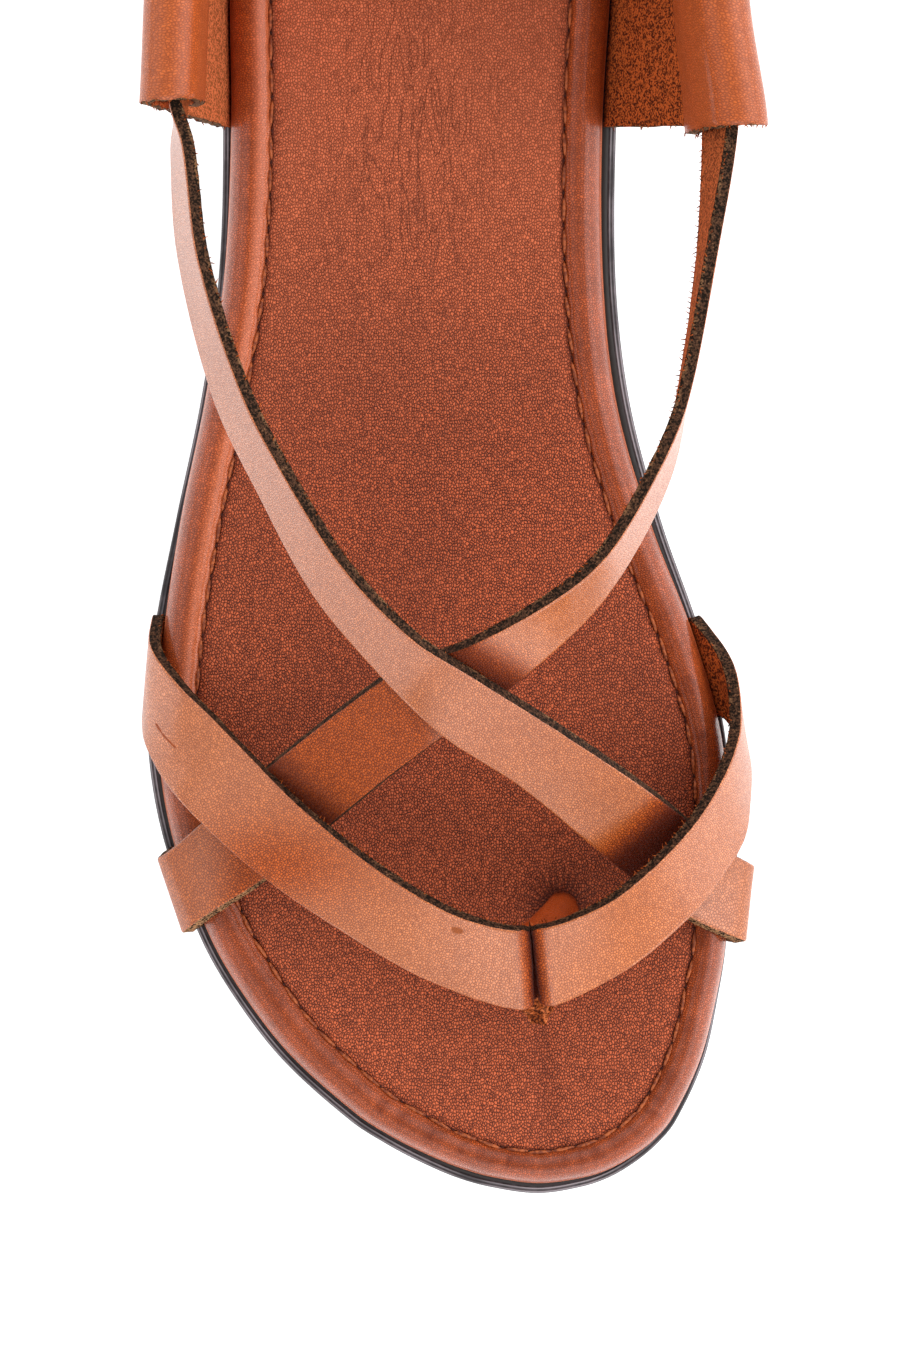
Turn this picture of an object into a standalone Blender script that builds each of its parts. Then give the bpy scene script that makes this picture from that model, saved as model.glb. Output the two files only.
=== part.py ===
"""Leather sandal for the right foot, standing empty on its sole.

The toe points along -Y, the big toe side is +X and the floor is Z = 0.
Sizes are written in millimetres, and the meshes are made in metres.
"""
import math
from collections import namedtuple

import bmesh
import bpy
from mathutils import Vector

MM = 0.001
UP = Vector((0.0, 0.0, 1.0))
TOEWARD = Vector((0.0, -1.0, 0.0))
MEDIAL = 1
LATERAL = -1

# Driving sizes
LENGTH = 254.0
BALL_WIDTH = 93.5
FIT_GAP = 0.3
STRAP_THICK = 2.0
FOOTBED_THICK = 5.2
RAND_WALL = 1.4
RAND_TOP_RADIUS = 2.0
RAND_FOOT_RADIUS = 0.8
SOLE_FOOT_BEVEL = 0.7
COUNTER_WALL = 1.8
COUNTER_FRONT = 0.329
TUNNEL_RADIUS = 3.6
TUNNEL_DEPTH = 20.5
TUNNEL_HIGH_DROP = 3.0
TUNNEL_HIGH_SIDE = 3.8
TUNNEL_LOW_DROP = 15.0
TUNNEL_LOW_SIDE = 1.2
TAB_STANDOFF = 2.5
TAB_BEND = 2.5
TAB_DEPTH = 8.0
POST_RADIUS = 3.2
POST_FOOT_HEIGHT = 5.2

# Mesh fineness
SIDE_STEPS = 40
CAP_COLUMNS = 6
STRAP_COLUMNS = 3
STRAP_STEP = 4.5
COUNTER_STEPS = 28
WALL_STEPS = 5
FOLD_STEPS = 8
FLAP_STEPS = 5
POST_SIDES = 16
POST_STEPS = 7
EDGE_REACH = 0.05
HALVINGS = 40
SHARP_DEGREES = 35.0

# Outline of the sole: places are shares of the length from the heel and of the ball width
# from the long axis, the margins are how far the sole stands out past the rand, and the
# borders are the width of the rand from its edge to its seam
SoleRow = namedtuple(
    "SoleRow", "along lateral medial lateral_margin medial_margin lateral_border medial_border")
SOLE_ROWS = (
    SoleRow(0.000, -0.040, -0.040, 2.5, 2.5, 6.4, 6.4),
    SoleRow(0.031, -0.268, 0.189, 2.5, 2.5, 6.4, 6.4),
    SoleRow(0.075, -0.359, 0.280, 2.5, 2.5, 6.4, 6.4),
    SoleRow(0.154, -0.395, 0.313, 2.5, 2.5, 6.4, 6.3),
    SoleRow(0.248, -0.396, 0.297, 2.2, 2.5, 6.4, 6.1),
    SoleRow(0.330, -0.388, 0.284, 1.6, 2.5, 6.4, 5.9),
    SoleRow(0.423, -0.397, 0.284, 1.2, 2.3, 6.4, 5.9),
    SoleRow(0.499, -0.428, 0.308, 1.0, 2.4, 6.3, 5.8),
    SoleRow(0.575, -0.472, 0.363, 1.1, 2.0, 6.3, 5.6),
    SoleRow(0.650, -0.511, 0.434, 1.9, 1.4, 6.2, 5.3),
    SoleRow(0.714, -0.521, 0.475, 2.0, 0.9, 6.2, 5.1),
    SoleRow(0.778, -0.493, 0.481, 1.8, 0.5, 6.3, 5.1),
    SoleRow(0.841, -0.428, 0.476, 1.8, 0.4, 6.3, 5.1),
    SoleRow(0.879, -0.368, 0.460, 1.8, 0.6, 6.3, 5.1),
    SoleRow(0.917, -0.287, 0.436, 1.8, 0.9, 6.1, 5.1),
    SoleRow(0.955, -0.170, 0.387, 1.8, 1.1, 5.8, 5.2),
    SoleRow(0.969, -0.110, 0.355, 1.8, 1.2, 5.6, 5.2),
    SoleRow(0.980, -0.053, 0.319, 1.9, 1.4, 5.4, 5.2),
    SoleRow(0.990, 0.010, 0.273, 2.0, 1.6, 5.2, 5.2),
    SoleRow(0.996, 0.068, 0.225, 2.0, 1.8, 5.1, 5.2),
    SoleRow(1.000, 0.150, 0.150, 2.0, 2.0, 5.1, 5.1),
)

# Side profile of the sole: heights over the floor
ProfileRow = namedtuple("ProfileRow", "along underside sole_top")
PROFILE_ROWS = (
    ProfileRow(0.00, 0.0, 13.5),
    ProfileRow(0.22, 0.0, 13.2),
    ProfileRow(0.29, 4.6, 12.3),
    ProfileRow(0.37, 4.6, 10.2),
    ProfileRow(0.47, 2.2, 7.2),
    ProfileRow(0.56, 0.0, 5.1),
    ProfileRow(0.64, 0.0, 4.5),
    ProfileRow(0.78, 0.0, 4.5),
    ProfileRow(0.89, 1.0, 5.5),
    ProfileRow(1.00, 5.0, 9.5),
)

# Heel counter: a row for each share of the way from its medial end round the heel to its
# lateral end, with the outward lean of the wall in degrees, how far its upper part curves
# back in over the heel, how far its top leans toward the toe, and the height of its top
CounterRow = namedtuple("CounterRow", "share lean curl rake top")
COUNTER_ROWS = (
    CounterRow(0.0, 28.2, 0.0, 3.2, 59.0),
    CounterRow(0.08, 25.2, 0.3, 2.2, 59.3),
    CounterRow(0.2, 20.0, 1.0, 0.6, 60.0),
    CounterRow(0.5, 1.5, 6.0, 0.0, 62.0),
    CounterRow(0.8, 9.5, 1.0, 0.0, 60.0),
    CounterRow(0.92, 13.6, 0.3, 0.2, 59.3),
    CounterRow(1.0, 14.0, 0.0, 0.5, 59.0),
)

# Straps: a row for each section, with the places of the rear and the front edge of its grain side
StrapRow = namedtuple("StrapRow", "rear_x rear_y rear_z front_x front_y front_z")

# V strap over the toes, from its lateral end to its medial end
V_STRAP_ROWS = (
    StrapRow(-48.0, -39.3, 11.0, -49.6, -51.8, 5.8),
    StrapRow(-43.4, -45.4, 16.6, -48.8, -55.4, 10.0),
    StrapRow(-38.0, -50.5, 20.8, -45.9, -60.4, 14.5),
    StrapRow(-32.3, -56.1, 25.0, -41.2, -65.7, 19.5),
    StrapRow(-23.5, -64.8, 29.0, -31.4, -74.6, 22.2),
    StrapRow(-10.9, -74.9, 31.0, -17.4, -84.4, 22.5),
    StrapRow(1.6, -82.0, 30.5, -2.4, -92.8, 22.5),
    StrapRow(12.5, -83.9, 29.0, 12.6, -96.8, 23.0),
    StrapRow(23.5, -80.5, 30.0, 26.8, -91.4, 22.0),
    StrapRow(31.3, -74.9, 28.8, 38.0, -82.5, 19.5),
    StrapRow(37.7, -68.5, 26.5, 43.5, -76.0, 15.5),
    StrapRow(41.8, -62.9, 23.0, 47.2, -70.1, 12.0),
    StrapRow(45.2, -56.2, 18.8, 48.3, -63.7, 8.3),
    StrapRow(46.4, -50.4, 15.0, 48.4, -57.9, 6.0),
    StrapRow(45.4, -42.0, 10.2, 46.9, -53.7, 5.4),
)

# Cross strap, from its lateral end over the instep to the medial mouth of the tunnel
CROSS_LATERAL_ROWS = (
    StrapRow(-46.9, -73.4, 8.5, -42.9, -85.2, 9.8),
    StrapRow(-43.6, -71.0, 12.2, -39.0, -82.3, 14.3),
    StrapRow(-38.5, -66.7, 16.7, -30.4, -76.8, 18.5),
    StrapRow(-27.8, -58.0, 26.3, -20.1, -68.4, 25.3),
    StrapRow(-17.1, -49.7, 36.5, -10.1, -60.2, 34.0),
    StrapRow(-7.7, -43.4, 43.0, -0.8, -53.3, 39.6),
    StrapRow(3.7, -39.4, 49.6, 9.3, -46.3, 41.2),
    StrapRow(17.1, -32.0, 54.0, 21.6, -35.2, 43.0),
    StrapRow(24.5, -25.3, 55.5, 28.0, -26.3, 44.0),
    StrapRow(31.9, -12.9, 56.5, 34.1, -13.7, 44.5),
    StrapRow(36.3, -2.2, 56.8, 36.7, -1.7, 44.6),
    StrapRow(40.5, 18.9, 57.0, 39.7, 19.8, 45.0),
)

# Cross strap, from the lateral mouth of the tunnel over the instep to its medial end
CROSS_MEDIAL_ROWS = (
    StrapRow(-40.7, 36.4, 56.1, -43.1, 36.7, 44.4),
    StrapRow(-38.4, 19.3, 56.0, -42.0, 19.9, 44.3),
    StrapRow(-31.9, -1.0, 56.0, -36.5, -1.7, 44.4),
    StrapRow(-24.3, -15.6, 55.7, -29.2, -17.1, 44.3),
    StrapRow(-16.0, -28.3, 54.7, -21.2, -31.8, 44.0),
    StrapRow(-5.8, -38.7, 52.3, -10.8, -44.3, 42.7),
    StrapRow(3.1, -44.3, 47.6, -1.5, -53.3, 40.8),
    StrapRow(17.0, -53.0, 40.0, 10.9, -61.5, 33.5),
    StrapRow(31.4, -62.5, 27.0, 23.6, -72.0, 24.0),
    StrapRow(39.6, -68.6, 18.2, 32.5, -78.9, 18.0),
    StrapRow(45.4, -72.7, 12.6, 40.2, -83.5, 14.8),
    StrapRow(48.8, -74.6, 8.6, 47.2, -86.5, 10.0),
)

# Where the strap ends turn in under the rand: shares of the length at both edges of the strap
StrapEnd = namedtuple("StrapEnd", "side rear front")
V_LATERAL_END = StrapEnd(LATERAL, 0.636, 0.692)
V_MEDIAL_END = StrapEnd(MEDIAL, 0.637, 0.699)
CROSS_LATERAL_END = StrapEnd(LATERAL, 0.785, 0.832)
CROSS_MEDIAL_END = StrapEnd(MEDIAL, 0.793, 0.840)

# Toe post: places of its middle line, and the forward tip of its section in degrees
PostRow = namedtuple("PostRow", "x y z tip")
POST_ROWS = (
    PostRow(17.6, -81.5, 5.2, 0.0),
    PostRow(17.5, -82.0, 10.5, 8.0),
    PostRow(16.4, -85.4, 17.5, 32.0),
    PostRow(14.2, -89.6, 23.4, 26.0),
)

# Colours, as linear red, green and blue
TAN_LEATHER = (0.440, 0.150, 0.066)
BROWN_LEATHER = (0.310, 0.086, 0.040)
BLACK_RUBBER = (0.060, 0.046, 0.050)


def steady_value(rows, column, along):
    """Read a table column at a place without overshooting between its rows."""
    places = [row[0] for row in rows]
    values = [getattr(row, column) for row in rows]
    place = min(max(along, places[0]), places[-1])
    index = 0
    while index < len(places) - 2 and place > places[index + 1]:
        index += 1
    slopes = []
    for left in range(len(places) - 1):
        slopes.append((values[left + 1] - values[left]) / (places[left + 1] - places[left]))

    def tangent(at):
        if at == 0 or at == len(places) - 1:
            return 0.0
        before, after = slopes[at - 1], slopes[at]
        if before * after <= 0.0:
            return 0.0
        return 2.0 * before * after / (before + after)

    width = places[index + 1] - places[index]
    t = (place - places[index]) / width
    rise = values[index + 1] - values[index]
    start, end = tangent(index) * width, tangent(index + 1) * width
    bend = t * t * (3 * rise - 2 * start - end) + t ** 3 * (start + end - 2 * rise)
    return values[index] + t * start + bend


def curve_point(points, knots, place):
    """Point of a smooth curve through the given points at a place measured on the knots."""
    index = 0
    while index < len(knots) - 2 and place > knots[index + 1]:
        index += 1

    def tangent(at):
        before, after = max(at - 1, 0), min(at + 1, len(points) - 1)
        return (points[after] - points[before]) / (knots[after] - knots[before])

    width = knots[index + 1] - knots[index]
    t = (place - knots[index]) / width
    rise = points[index + 1] - points[index]
    start, end = tangent(index) * width, tangent(index + 1) * width
    bend = t * t * (3 * rise - 2 * start - end) + t ** 3 * (start + end - 2 * rise)
    return points[index] + t * start + bend


def chord_knots(points):
    """Running chord length through the points."""
    knots = [0.0]
    for before, after in zip(points, points[1:]):
        knots.append(knots[-1] + (after - before).length)
    return knots


def along_to_y(along):
    """Place along the foot as a Y value: the heel end is at +LENGTH / 2."""
    return LENGTH * (0.5 - along)


def y_to_along(y):
    """Share of the length from the heel end."""
    return 0.5 - y / LENGTH


def sole_loop():
    """Points of the sole's outline up the medial side and back, each with its margin and its border."""
    medial = []
    lateral = []
    for row in SOLE_ROWS:
        y = along_to_y(row.along)
        medial.append(Vector((row.medial * BALL_WIDTH, y, row.medial_margin, row.medial_border)))
        lateral.append(Vector((row.lateral * BALL_WIDTH, y, row.lateral_margin, row.lateral_border)))
    return medial + lateral[-2:0:-1]


LOOP = sole_loop()
LOOP_WRAP = 2
LOOP_POINTS = LOOP[-LOOP_WRAP:] + LOOP + LOOP[:LOOP_WRAP + 1]
LOOP_KNOTS = chord_knots(LOOP_POINTS)
HEEL_KNOT = LOOP_KNOTS[LOOP_WRAP]
TOE_ARC = LOOP_KNOTS[LOOP_WRAP + len(SOLE_ROWS) - 1] - HEEL_KNOT
LOOP_ARC = LOOP_KNOTS[LOOP_WRAP + len(LOOP)] - HEEL_KNOT


def sole_edge(arc):
    """Sole outline at an arc length from the heel end: point, outward direction, margin and border."""
    place = arc % LOOP_ARC + HEEL_KNOT
    here = curve_point(LOOP_POINTS, LOOP_KNOTS, place)
    before = curve_point(LOOP_POINTS, LOOP_KNOTS, place - EDGE_REACH)
    run = curve_point(LOOP_POINTS, LOOP_KNOTS, place + EDGE_REACH) - before
    outward = Vector((-run.y, run.x, 0.0)).normalized()
    return Vector((here.x, here.y, 0.0)), outward, here.z, here.w


def arc_at(along, side):
    """Arc length at which one side of the sole's outline reaches a share of the length."""
    low, high = (0.0, TOE_ARC) if side == MEDIAL else (LOOP_ARC, TOE_ARC)
    for _ in range(HALVINGS):
        middle = (low + high) / 2
        if y_to_along(sole_edge(middle)[0].y) < along:
            low = middle
        else:
            high = middle
    return low


def loop_arcs():
    """Arc lengths of the samples round the sole: heel end, medial side, toe end, lateral side."""
    arcs = []
    for step in range(SIDE_STEPS):
        arcs.append(TOE_ARC * step / SIDE_STEPS)
    for step in range(SIDE_STEPS):
        arcs.append(TOE_ARC + (LOOP_ARC - TOE_ARC) * step / SIDE_STEPS)
    return arcs


def sole_ring(inset, height):
    """Ring inside the sole's outline, at a height read from each point's own place along the foot."""
    ring = []
    for arc in loop_arcs():
        point, outward, _, _ = sole_edge(arc)
        spot = point - outward * inset
        ring.append(Vector((spot.x, spot.y, height(spot.y))))
    return ring


def rand_ring(inset, height, border_share=0.0):
    """Ring inside the rand's outer edge, as sole_ring, further in by a share of the rand's border."""
    ring = []
    for arc in loop_arcs():
        point, outward, margin, border = sole_edge(arc)
        spot = point - outward * (margin + inset + border_share * border)
        ring.append(Vector((spot.x, spot.y, height(spot.y))))
    return ring


def underside(y):
    return steady_value(PROFILE_ROWS, "underside", y_to_along(y))


def sole_top(y):
    return steady_value(PROFILE_ROWS, "sole_top", y_to_along(y))


def footbed(rise):
    """Height function for a level over the underside of the footbed."""
    return lambda y: sole_top(y) + FIT_GAP + rise


def add_rings(mesh, rings, closed=False):
    """Skin rings of points that follow each other, and return the rings' vertices."""
    rows = [[mesh.verts.new(point * MM) for point in ring] for ring in rings]
    pairs = list(zip(rows, rows[1:]))
    if closed:
        pairs.append((rows[-1], rows[0]))
    for low, high in pairs:
        for index in range(len(low)):
            after = (index + 1) % len(low)
            mesh.faces.new((low[index], low[after], high[after], high[index]))
    return rows


def close_sole_face(mesh, ring, height):
    """Close a ring round the sole with cross rows between its medial and its lateral side."""
    rows = [[ring[0]]]
    for step in range(1, SIDE_STEPS):
        start, end = ring[step], ring[-step]
        row = [start]
        for column in range(1, CAP_COLUMNS):
            spot = start.co.lerp(end.co, column / CAP_COLUMNS)
            spot.z = height(spot.y / MM) * MM
            row.append(mesh.verts.new(spot))
        rows.append(row + [end])
    rows.append([ring[SIDE_STEPS]])
    for low, high in zip(rows, rows[1:]):
        for column in range(CAP_COLUMNS):
            corners = []
            for vert in (low[min(column, len(low) - 1)], low[min(column + 1, len(low) - 1)],
                         high[min(column + 1, len(high) - 1)], high[min(column, len(high) - 1)]):
                if vert not in corners:
                    corners.append(vert)
            mesh.faces.new(corners)


def make_object(name, mesh, material):
    """Turn a finished bmesh into a named object with smooth shading."""
    bmesh.ops.recalc_face_normals(mesh, faces=mesh.faces)
    data = bpy.data.meshes.new(name)
    mesh.to_mesh(data)
    mesh.free()
    data.shade_smooth()
    data.set_sharp_from_angle(angle=math.radians(SHARP_DEGREES))
    data.materials.append(material)
    piece = bpy.data.objects.new(name, data)
    bpy.context.scene.collection.objects.link(piece)
    return piece


def make_material(name, colour, roughness):
    material = bpy.data.materials.new(name)
    material.use_nodes = True
    shader = material.node_tree.nodes["Principled BSDF"]
    shader.inputs["Base Color"].default_value = (*colour, 1.0)
    shader.inputs["Roughness"].default_value = roughness
    shader.inputs["Metallic"].default_value = 0.0
    return material


def combine(piece, tool, operation):
    """Join a tool to a piece or cut it out of it, and keep the tool as a hidden guide."""
    tool.hide_render = True
    tool.display_type = "WIRE"
    step = piece.modifiers.new(tool.name, "BOOLEAN")
    step.operation = operation
    step.object = tool
    step.solver = "EXACT"


# Strap bands
def end_rows(end, standoff, depth):
    """Rows where a strap end comes down outside the rand, bends and runs in under it."""
    edges = []
    for along in (end.rear, end.front):
        point, outward, margin, _ = sole_edge(arc_at(along, end.side))
        edges.append((point + outward * (standoff - margin), outward))
    inward = -(edges[0][1] + edges[1][1]).normalized()
    start_z = min(sole_top(edge[0].y) for edge in edges) + TAB_BEND - STRAP_THICK
    offsets = []
    for angle in (0.0, 30.0, 60.0, 90.0):
        turn = math.radians(angle)
        offsets.append((TAB_BEND * (1.0 - math.cos(turn)), start_z - TAB_BEND * math.sin(turn)))
    offsets.append((depth, start_z - TAB_BEND))
    rows = []
    for reach, height in offsets:
        rear, front = [spot + inward * reach for spot, _ in edges]
        rows.append(StrapRow(rear.x, rear.y, height, front.x, front.y, height))
    return rows


def strap_sections(rows):
    """Rear and front edge points at even steps along a strap, with each row kept as a section."""
    rear = [Vector(row[:3]) for row in rows]
    front = [Vector(row[3:]) for row in rows]
    middle = [(a + b) / 2 for a, b in zip(rear, front)]
    knots = chord_knots(middle)
    sections = []
    for start, end in zip(knots, knots[1:]):
        steps = max(1, round((end - start) / STRAP_STEP))
        for step in range(steps):
            place = start + (end - start) * step / steps
            sections.append((curve_point(rear, knots, place), curve_point(front, knots, place)))
    sections.append((rear[-1], front[-1]))
    return sections


def band_mesh(rows, spare=0.0):
    """Solid band under the grain side that strap rows give, larger by the spare all round."""
    columns = []
    for column in range(STRAP_COLUMNS + 1):
        share = column / STRAP_COLUMNS
        line = []
        for rear, front in strap_sections(rows):
            side = (rear - front).normalized() * spare
            line.append((front - side).lerp(rear + side, share))
        columns.append(line)
    rings = []
    last = len(columns[0]) - 1
    for index in range(last + 1):
        across = columns[-1][index] - columns[0][index]
        outer, inner = [], []
        for line in columns:
            run = line[min(index + 1, last)] - line[max(index - 1, 0)]
            grain_side = run.cross(across).normalized()
            outer.append(line[index] + grain_side * spare)
            inner.append(line[index] - grain_side * (STRAP_THICK + spare))
        rings.append(outer + inner[::-1])
    mesh = bmesh.new()
    skin = add_rings(mesh, rings)
    mesh.faces.new(skin[0])
    mesh.faces.new(skin[-1])
    return mesh


def counter_frame(share):
    """Foot of the counter's wall, its rising and its inward direction, its height and its curl."""
    start, end = arc_at(COUNTER_FRONT, MEDIAL), arc_at(COUNTER_FRONT, LATERAL) - LOOP_ARC
    point, outward, margin, _ = sole_edge(start + (end - start) * share)
    foot = point + outward * (FIT_GAP + COUNTER_WALL / 2 - margin)
    lean = math.radians(steady_value(COUNTER_ROWS, "lean", share))
    foot.z = sole_top(foot.y) + FIT_GAP + math.sin(lean) * COUNTER_WALL / 2
    top = steady_value(COUNTER_ROWS, "top", share)
    rising = UP * math.cos(lean) + outward * math.sin(lean)
    inward = UP * math.sin(lean) - outward * math.cos(lean)
    over_tunnel = TUNNEL_RADIUS * (1.0 + math.sin(lean)) + COUNTER_WALL / 2
    height = TUNNEL_RADIUS + (top - foot.z - over_tunnel) / math.cos(lean)
    rising += TOEWARD * steady_value(COUNTER_ROWS, "rake", share) / height
    return foot, rising, inward, height, steady_value(COUNTER_ROWS, "curl", share)


def wall_side(up, height, curl):
    """How far the counter's wall has curved in at a height along it."""
    share = min(up / (height - TUNNEL_RADIUS), 1.0)
    return curl * share * share * (3.0 - 2.0 * share)


def counter_line(height, curl):
    """Middle line of the counter's section: up the wall, over the tunnel and down the sewn flap."""
    shoulder = height - TUNNEL_RADIUS
    line = []
    for step in range(WALL_STEPS):
        up = shoulder * step / WALL_STEPS
        line.append((up, wall_side(up, height, curl)))
    for step in range(FOLD_STEPS + 1):
        turn = math.pi * step / FOLD_STEPS
        side = curl + TUNNEL_RADIUS * (1.0 - math.cos(turn))
        line.append((shoulder + TUNNEL_RADIUS * math.sin(turn), side))
    flap_foot = COUNTER_WALL + FIT_GAP
    for step in range(1, FLAP_STEPS + 1):
        share = step / FLAP_STEPS
        up = shoulder - share * (TUNNEL_DEPTH - TUNNEL_RADIUS)
        clear = flap_foot + (2 * TUNNEL_RADIUS - flap_foot) * (1.0 - share * share)
        line.append((up, wall_side(up, height, curl) + clear))
    return line


def thicken_line(line, thick):
    """Closed section of even thickness round an open line in its own plane."""
    left, right = [], []
    for index, (x, y) in enumerate(line):
        before, after = line[max(index - 1, 0)], line[min(index + 1, len(line) - 1)]
        run = Vector((after[0] - before[0], after[1] - before[1])).normalized()
        left.append((x - run.y * thick / 2, y + run.x * thick / 2))
        right.append((x + run.y * thick / 2, y - run.x * thick / 2))
    return left + right[::-1]


def make_heel_counter(material):
    rings = []
    for step in range(COUNTER_STEPS + 1):
        foot, rising, inward, height, curl = counter_frame(step / COUNTER_STEPS)
        section = thicken_line(counter_line(height, curl), COUNTER_WALL)
        rings.append([foot + rising * up + inward * side for up, side in section])
    mesh = bmesh.new()
    skin = add_rings(mesh, rings)
    mesh.faces.new(skin[0])
    mesh.faces.new(skin[-1])
    return make_object("heel_counter", mesh, material)


def tunnel_rows():
    """Rows of the cross strap's grain side in the counter's tunnel, from its medial to its lateral mouth."""
    rows = []
    for step in range(COUNTER_STEPS + 1):
        foot, rising, inward, height, curl = counter_frame(step / COUNTER_STEPS)
        high = height - TUNNEL_HIGH_DROP
        low = height - TUNNEL_LOW_DROP
        rear = foot + rising * high + inward * (TUNNEL_HIGH_SIDE + wall_side(high, height, curl))
        front = foot + rising * low + inward * (TUNNEL_LOW_SIDE + wall_side(low, height, curl))
        rows.append(StrapRow(*rear, *front))
    return rows


def make_outsole(material):
    mesh = bmesh.new()
    skin = add_rings(mesh, (
        sole_ring(0.0, sole_top),
        sole_ring(0.0, lambda y: underside(y) + SOLE_FOOT_BEVEL),
        sole_ring(SOLE_FOOT_BEVEL, underside),
    ))
    close_sole_face(mesh, skin[0], sole_top)
    close_sole_face(mesh, skin[-1], underside)
    outsole = make_object("outsole", mesh, material)
    ends = (V_LATERAL_END, V_MEDIAL_END, CROSS_LATERAL_END, CROSS_MEDIAL_END)
    for number, end in enumerate(ends, 1):
        rows = end_rows(end, TAB_STANDOFF, TAB_DEPTH + FIT_GAP)
        raised = StrapRow(*(Vector(rows[0][:3]) + UP * TAB_DEPTH), *(Vector(rows[0][3:]) + UP * TAB_DEPTH))
        route = [raised] + rows
        if end.side == LATERAL:
            route.reverse()
        slot = make_object(f"strap_slot_{number}", band_mesh(route, FIT_GAP), material)
        combine(outsole, slot, "DIFFERENCE")
    return outsole


def make_insole(material):
    tongue = RAND_WALL + FIT_GAP
    tongue_top = FOOTBED_THICK - tongue
    top = footbed(FOOTBED_THICK)
    mesh = bmesh.new()
    skin = add_rings(mesh, (
        rand_ring(FIT_GAP, footbed(0.0), 1.0),
        rand_ring(FIT_GAP, footbed(tongue), 1.0),
        rand_ring(tongue, footbed(tongue)),
        rand_ring(tongue, footbed(tongue_top)),
        rand_ring(FIT_GAP, footbed(tongue_top), 1.0),
        rand_ring(FIT_GAP, top, 1.0),
    ))
    close_sole_face(mesh, skin[0], footbed(0.0))
    close_sole_face(mesh, skin[-1], top)
    insole = make_object("insole", mesh, material)
    hole = make_object("post_hole", post_mesh(POST_RADIUS + FIT_GAP, POST_FOOT_HEIGHT), material)
    combine(insole, hole, "DIFFERENCE")
    return insole


# Section of the rand: insets from its outer edge, shares of its border and heights
RandPoint = namedtuple("RandPoint", "inset border_share rise")


def rand_section():
    """Rand wrapped round the footbed's edge, rounded outside and open to the board inside."""
    section = [RandPoint(0.0, 1.0, 0.0)]
    for angle in (270.0, 225.0, 180.0):
        turn = math.radians(angle)
        inset = RAND_FOOT_RADIUS * (1.0 + math.cos(turn))
        section.append(RandPoint(inset, 0.0, RAND_FOOT_RADIUS * (1.0 + math.sin(turn))))
    for angle in (180.0, 157.5, 135.0, 112.5, 90.0):
        turn = math.radians(angle)
        inset = RAND_TOP_RADIUS * (1.0 + math.cos(turn))
        section.append(RandPoint(inset, 0.0, FOOTBED_THICK - RAND_TOP_RADIUS * (1.0 - math.sin(turn))))
    section += [
        RandPoint(0.0, 1.0, FOOTBED_THICK),
        RandPoint(0.0, 1.0, FOOTBED_THICK - RAND_WALL),
        RandPoint(RAND_WALL, 0.0, FOOTBED_THICK - RAND_WALL),
        RandPoint(RAND_WALL, 0.0, RAND_WALL),
        RandPoint(0.0, 1.0, RAND_WALL),
    ]
    return section


def make_rand(material):
    mesh = bmesh.new()
    rings = [rand_ring(spot.inset, footbed(spot.rise), spot.border_share) for spot in rand_section()]
    add_rings(mesh, rings, closed=True)
    return make_object("rand", mesh, material)


def make_upper(material):
    tab = (TAB_STANDOFF, TAB_DEPTH)
    cross_rows = end_rows(CROSS_LATERAL_END, *tab)[::-1]
    cross_rows += list(CROSS_LATERAL_ROWS) + tunnel_rows() + list(CROSS_MEDIAL_ROWS)
    cross_rows += end_rows(CROSS_MEDIAL_END, *tab)
    upper = make_object("upper", band_mesh(cross_rows), material)
    v_rows = end_rows(V_LATERAL_END, *tab)[::-1] + list(V_STRAP_ROWS) + end_rows(V_MEDIAL_END, *tab)
    v_strap = make_object("v_strap", band_mesh(v_rows), material)
    combine(upper, v_strap, "UNION")
    upper.modifiers[-1].use_self = True
    return upper


def post_mesh(radius, foot_extension=0.0):
    """Leaning round post through the post rows, longer at its foot by the extension."""
    points = [Vector(row[:3]) for row in POST_ROWS]
    tips = [Vector((0.0, row.tip, 0.0)) for row in POST_ROWS]
    knots = chord_knots(points)
    rings = []
    for step in range(POST_STEPS + 1):
        place = knots[-1] * step / POST_STEPS
        middle = curve_point(points, knots, place)
        tip = math.radians(curve_point(tips, knots, place).y)
        if step == 0:
            middle -= UP * foot_extension
        side = Vector((1.0, 0.0, 0.0))
        front = Vector((0.0, -math.cos(tip), -math.sin(tip)))
        ring = []
        for corner in range(POST_SIDES):
            turn = 2 * math.pi * corner / POST_SIDES
            ring.append(middle + (side * math.cos(turn) + front * math.sin(turn)) * radius)
        rings.append(ring)
    mesh = bmesh.new()
    skin = add_rings(mesh, rings)
    mesh.faces.new(skin[0])
    mesh.faces.new(skin[-1])
    return mesh


def make_toe_post(material):
    return make_object("toe_post", post_mesh(POST_RADIUS), material)


def main():
    for old in list(bpy.data.objects):
        bpy.data.objects.remove(old, do_unlink=True)
    strap_leather = make_material("strap_leather", TAN_LEATHER, roughness=0.45)
    insole_leather = make_material("insole_leather", BROWN_LEATHER, roughness=0.55)
    rand_leather = make_material("rand_leather", BROWN_LEATHER, roughness=0.45)
    counter_leather = make_material("counter_leather", TAN_LEATHER, roughness=0.60)
    post_leather = make_material("post_leather", BROWN_LEATHER, roughness=0.50)
    sole_rubber = make_material("sole_rubber", BLACK_RUBBER, roughness=0.70)
    sandal = bpy.data.objects.new("sandal", None)
    bpy.context.scene.collection.objects.link(sandal)
    pieces = (
        make_outsole(sole_rubber),
        make_insole(insole_leather),
        make_rand(rand_leather),
        make_upper(strap_leather),
        make_toe_post(post_leather),
        make_heel_counter(counter_leather),
    )
    for piece in pieces:
        piece.parent = sandal


main()
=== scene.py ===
import math
import random
from collections import namedtuple

import bmesh
import bpy
from mathutils import Matrix, Vector, kdtree, noise


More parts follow.
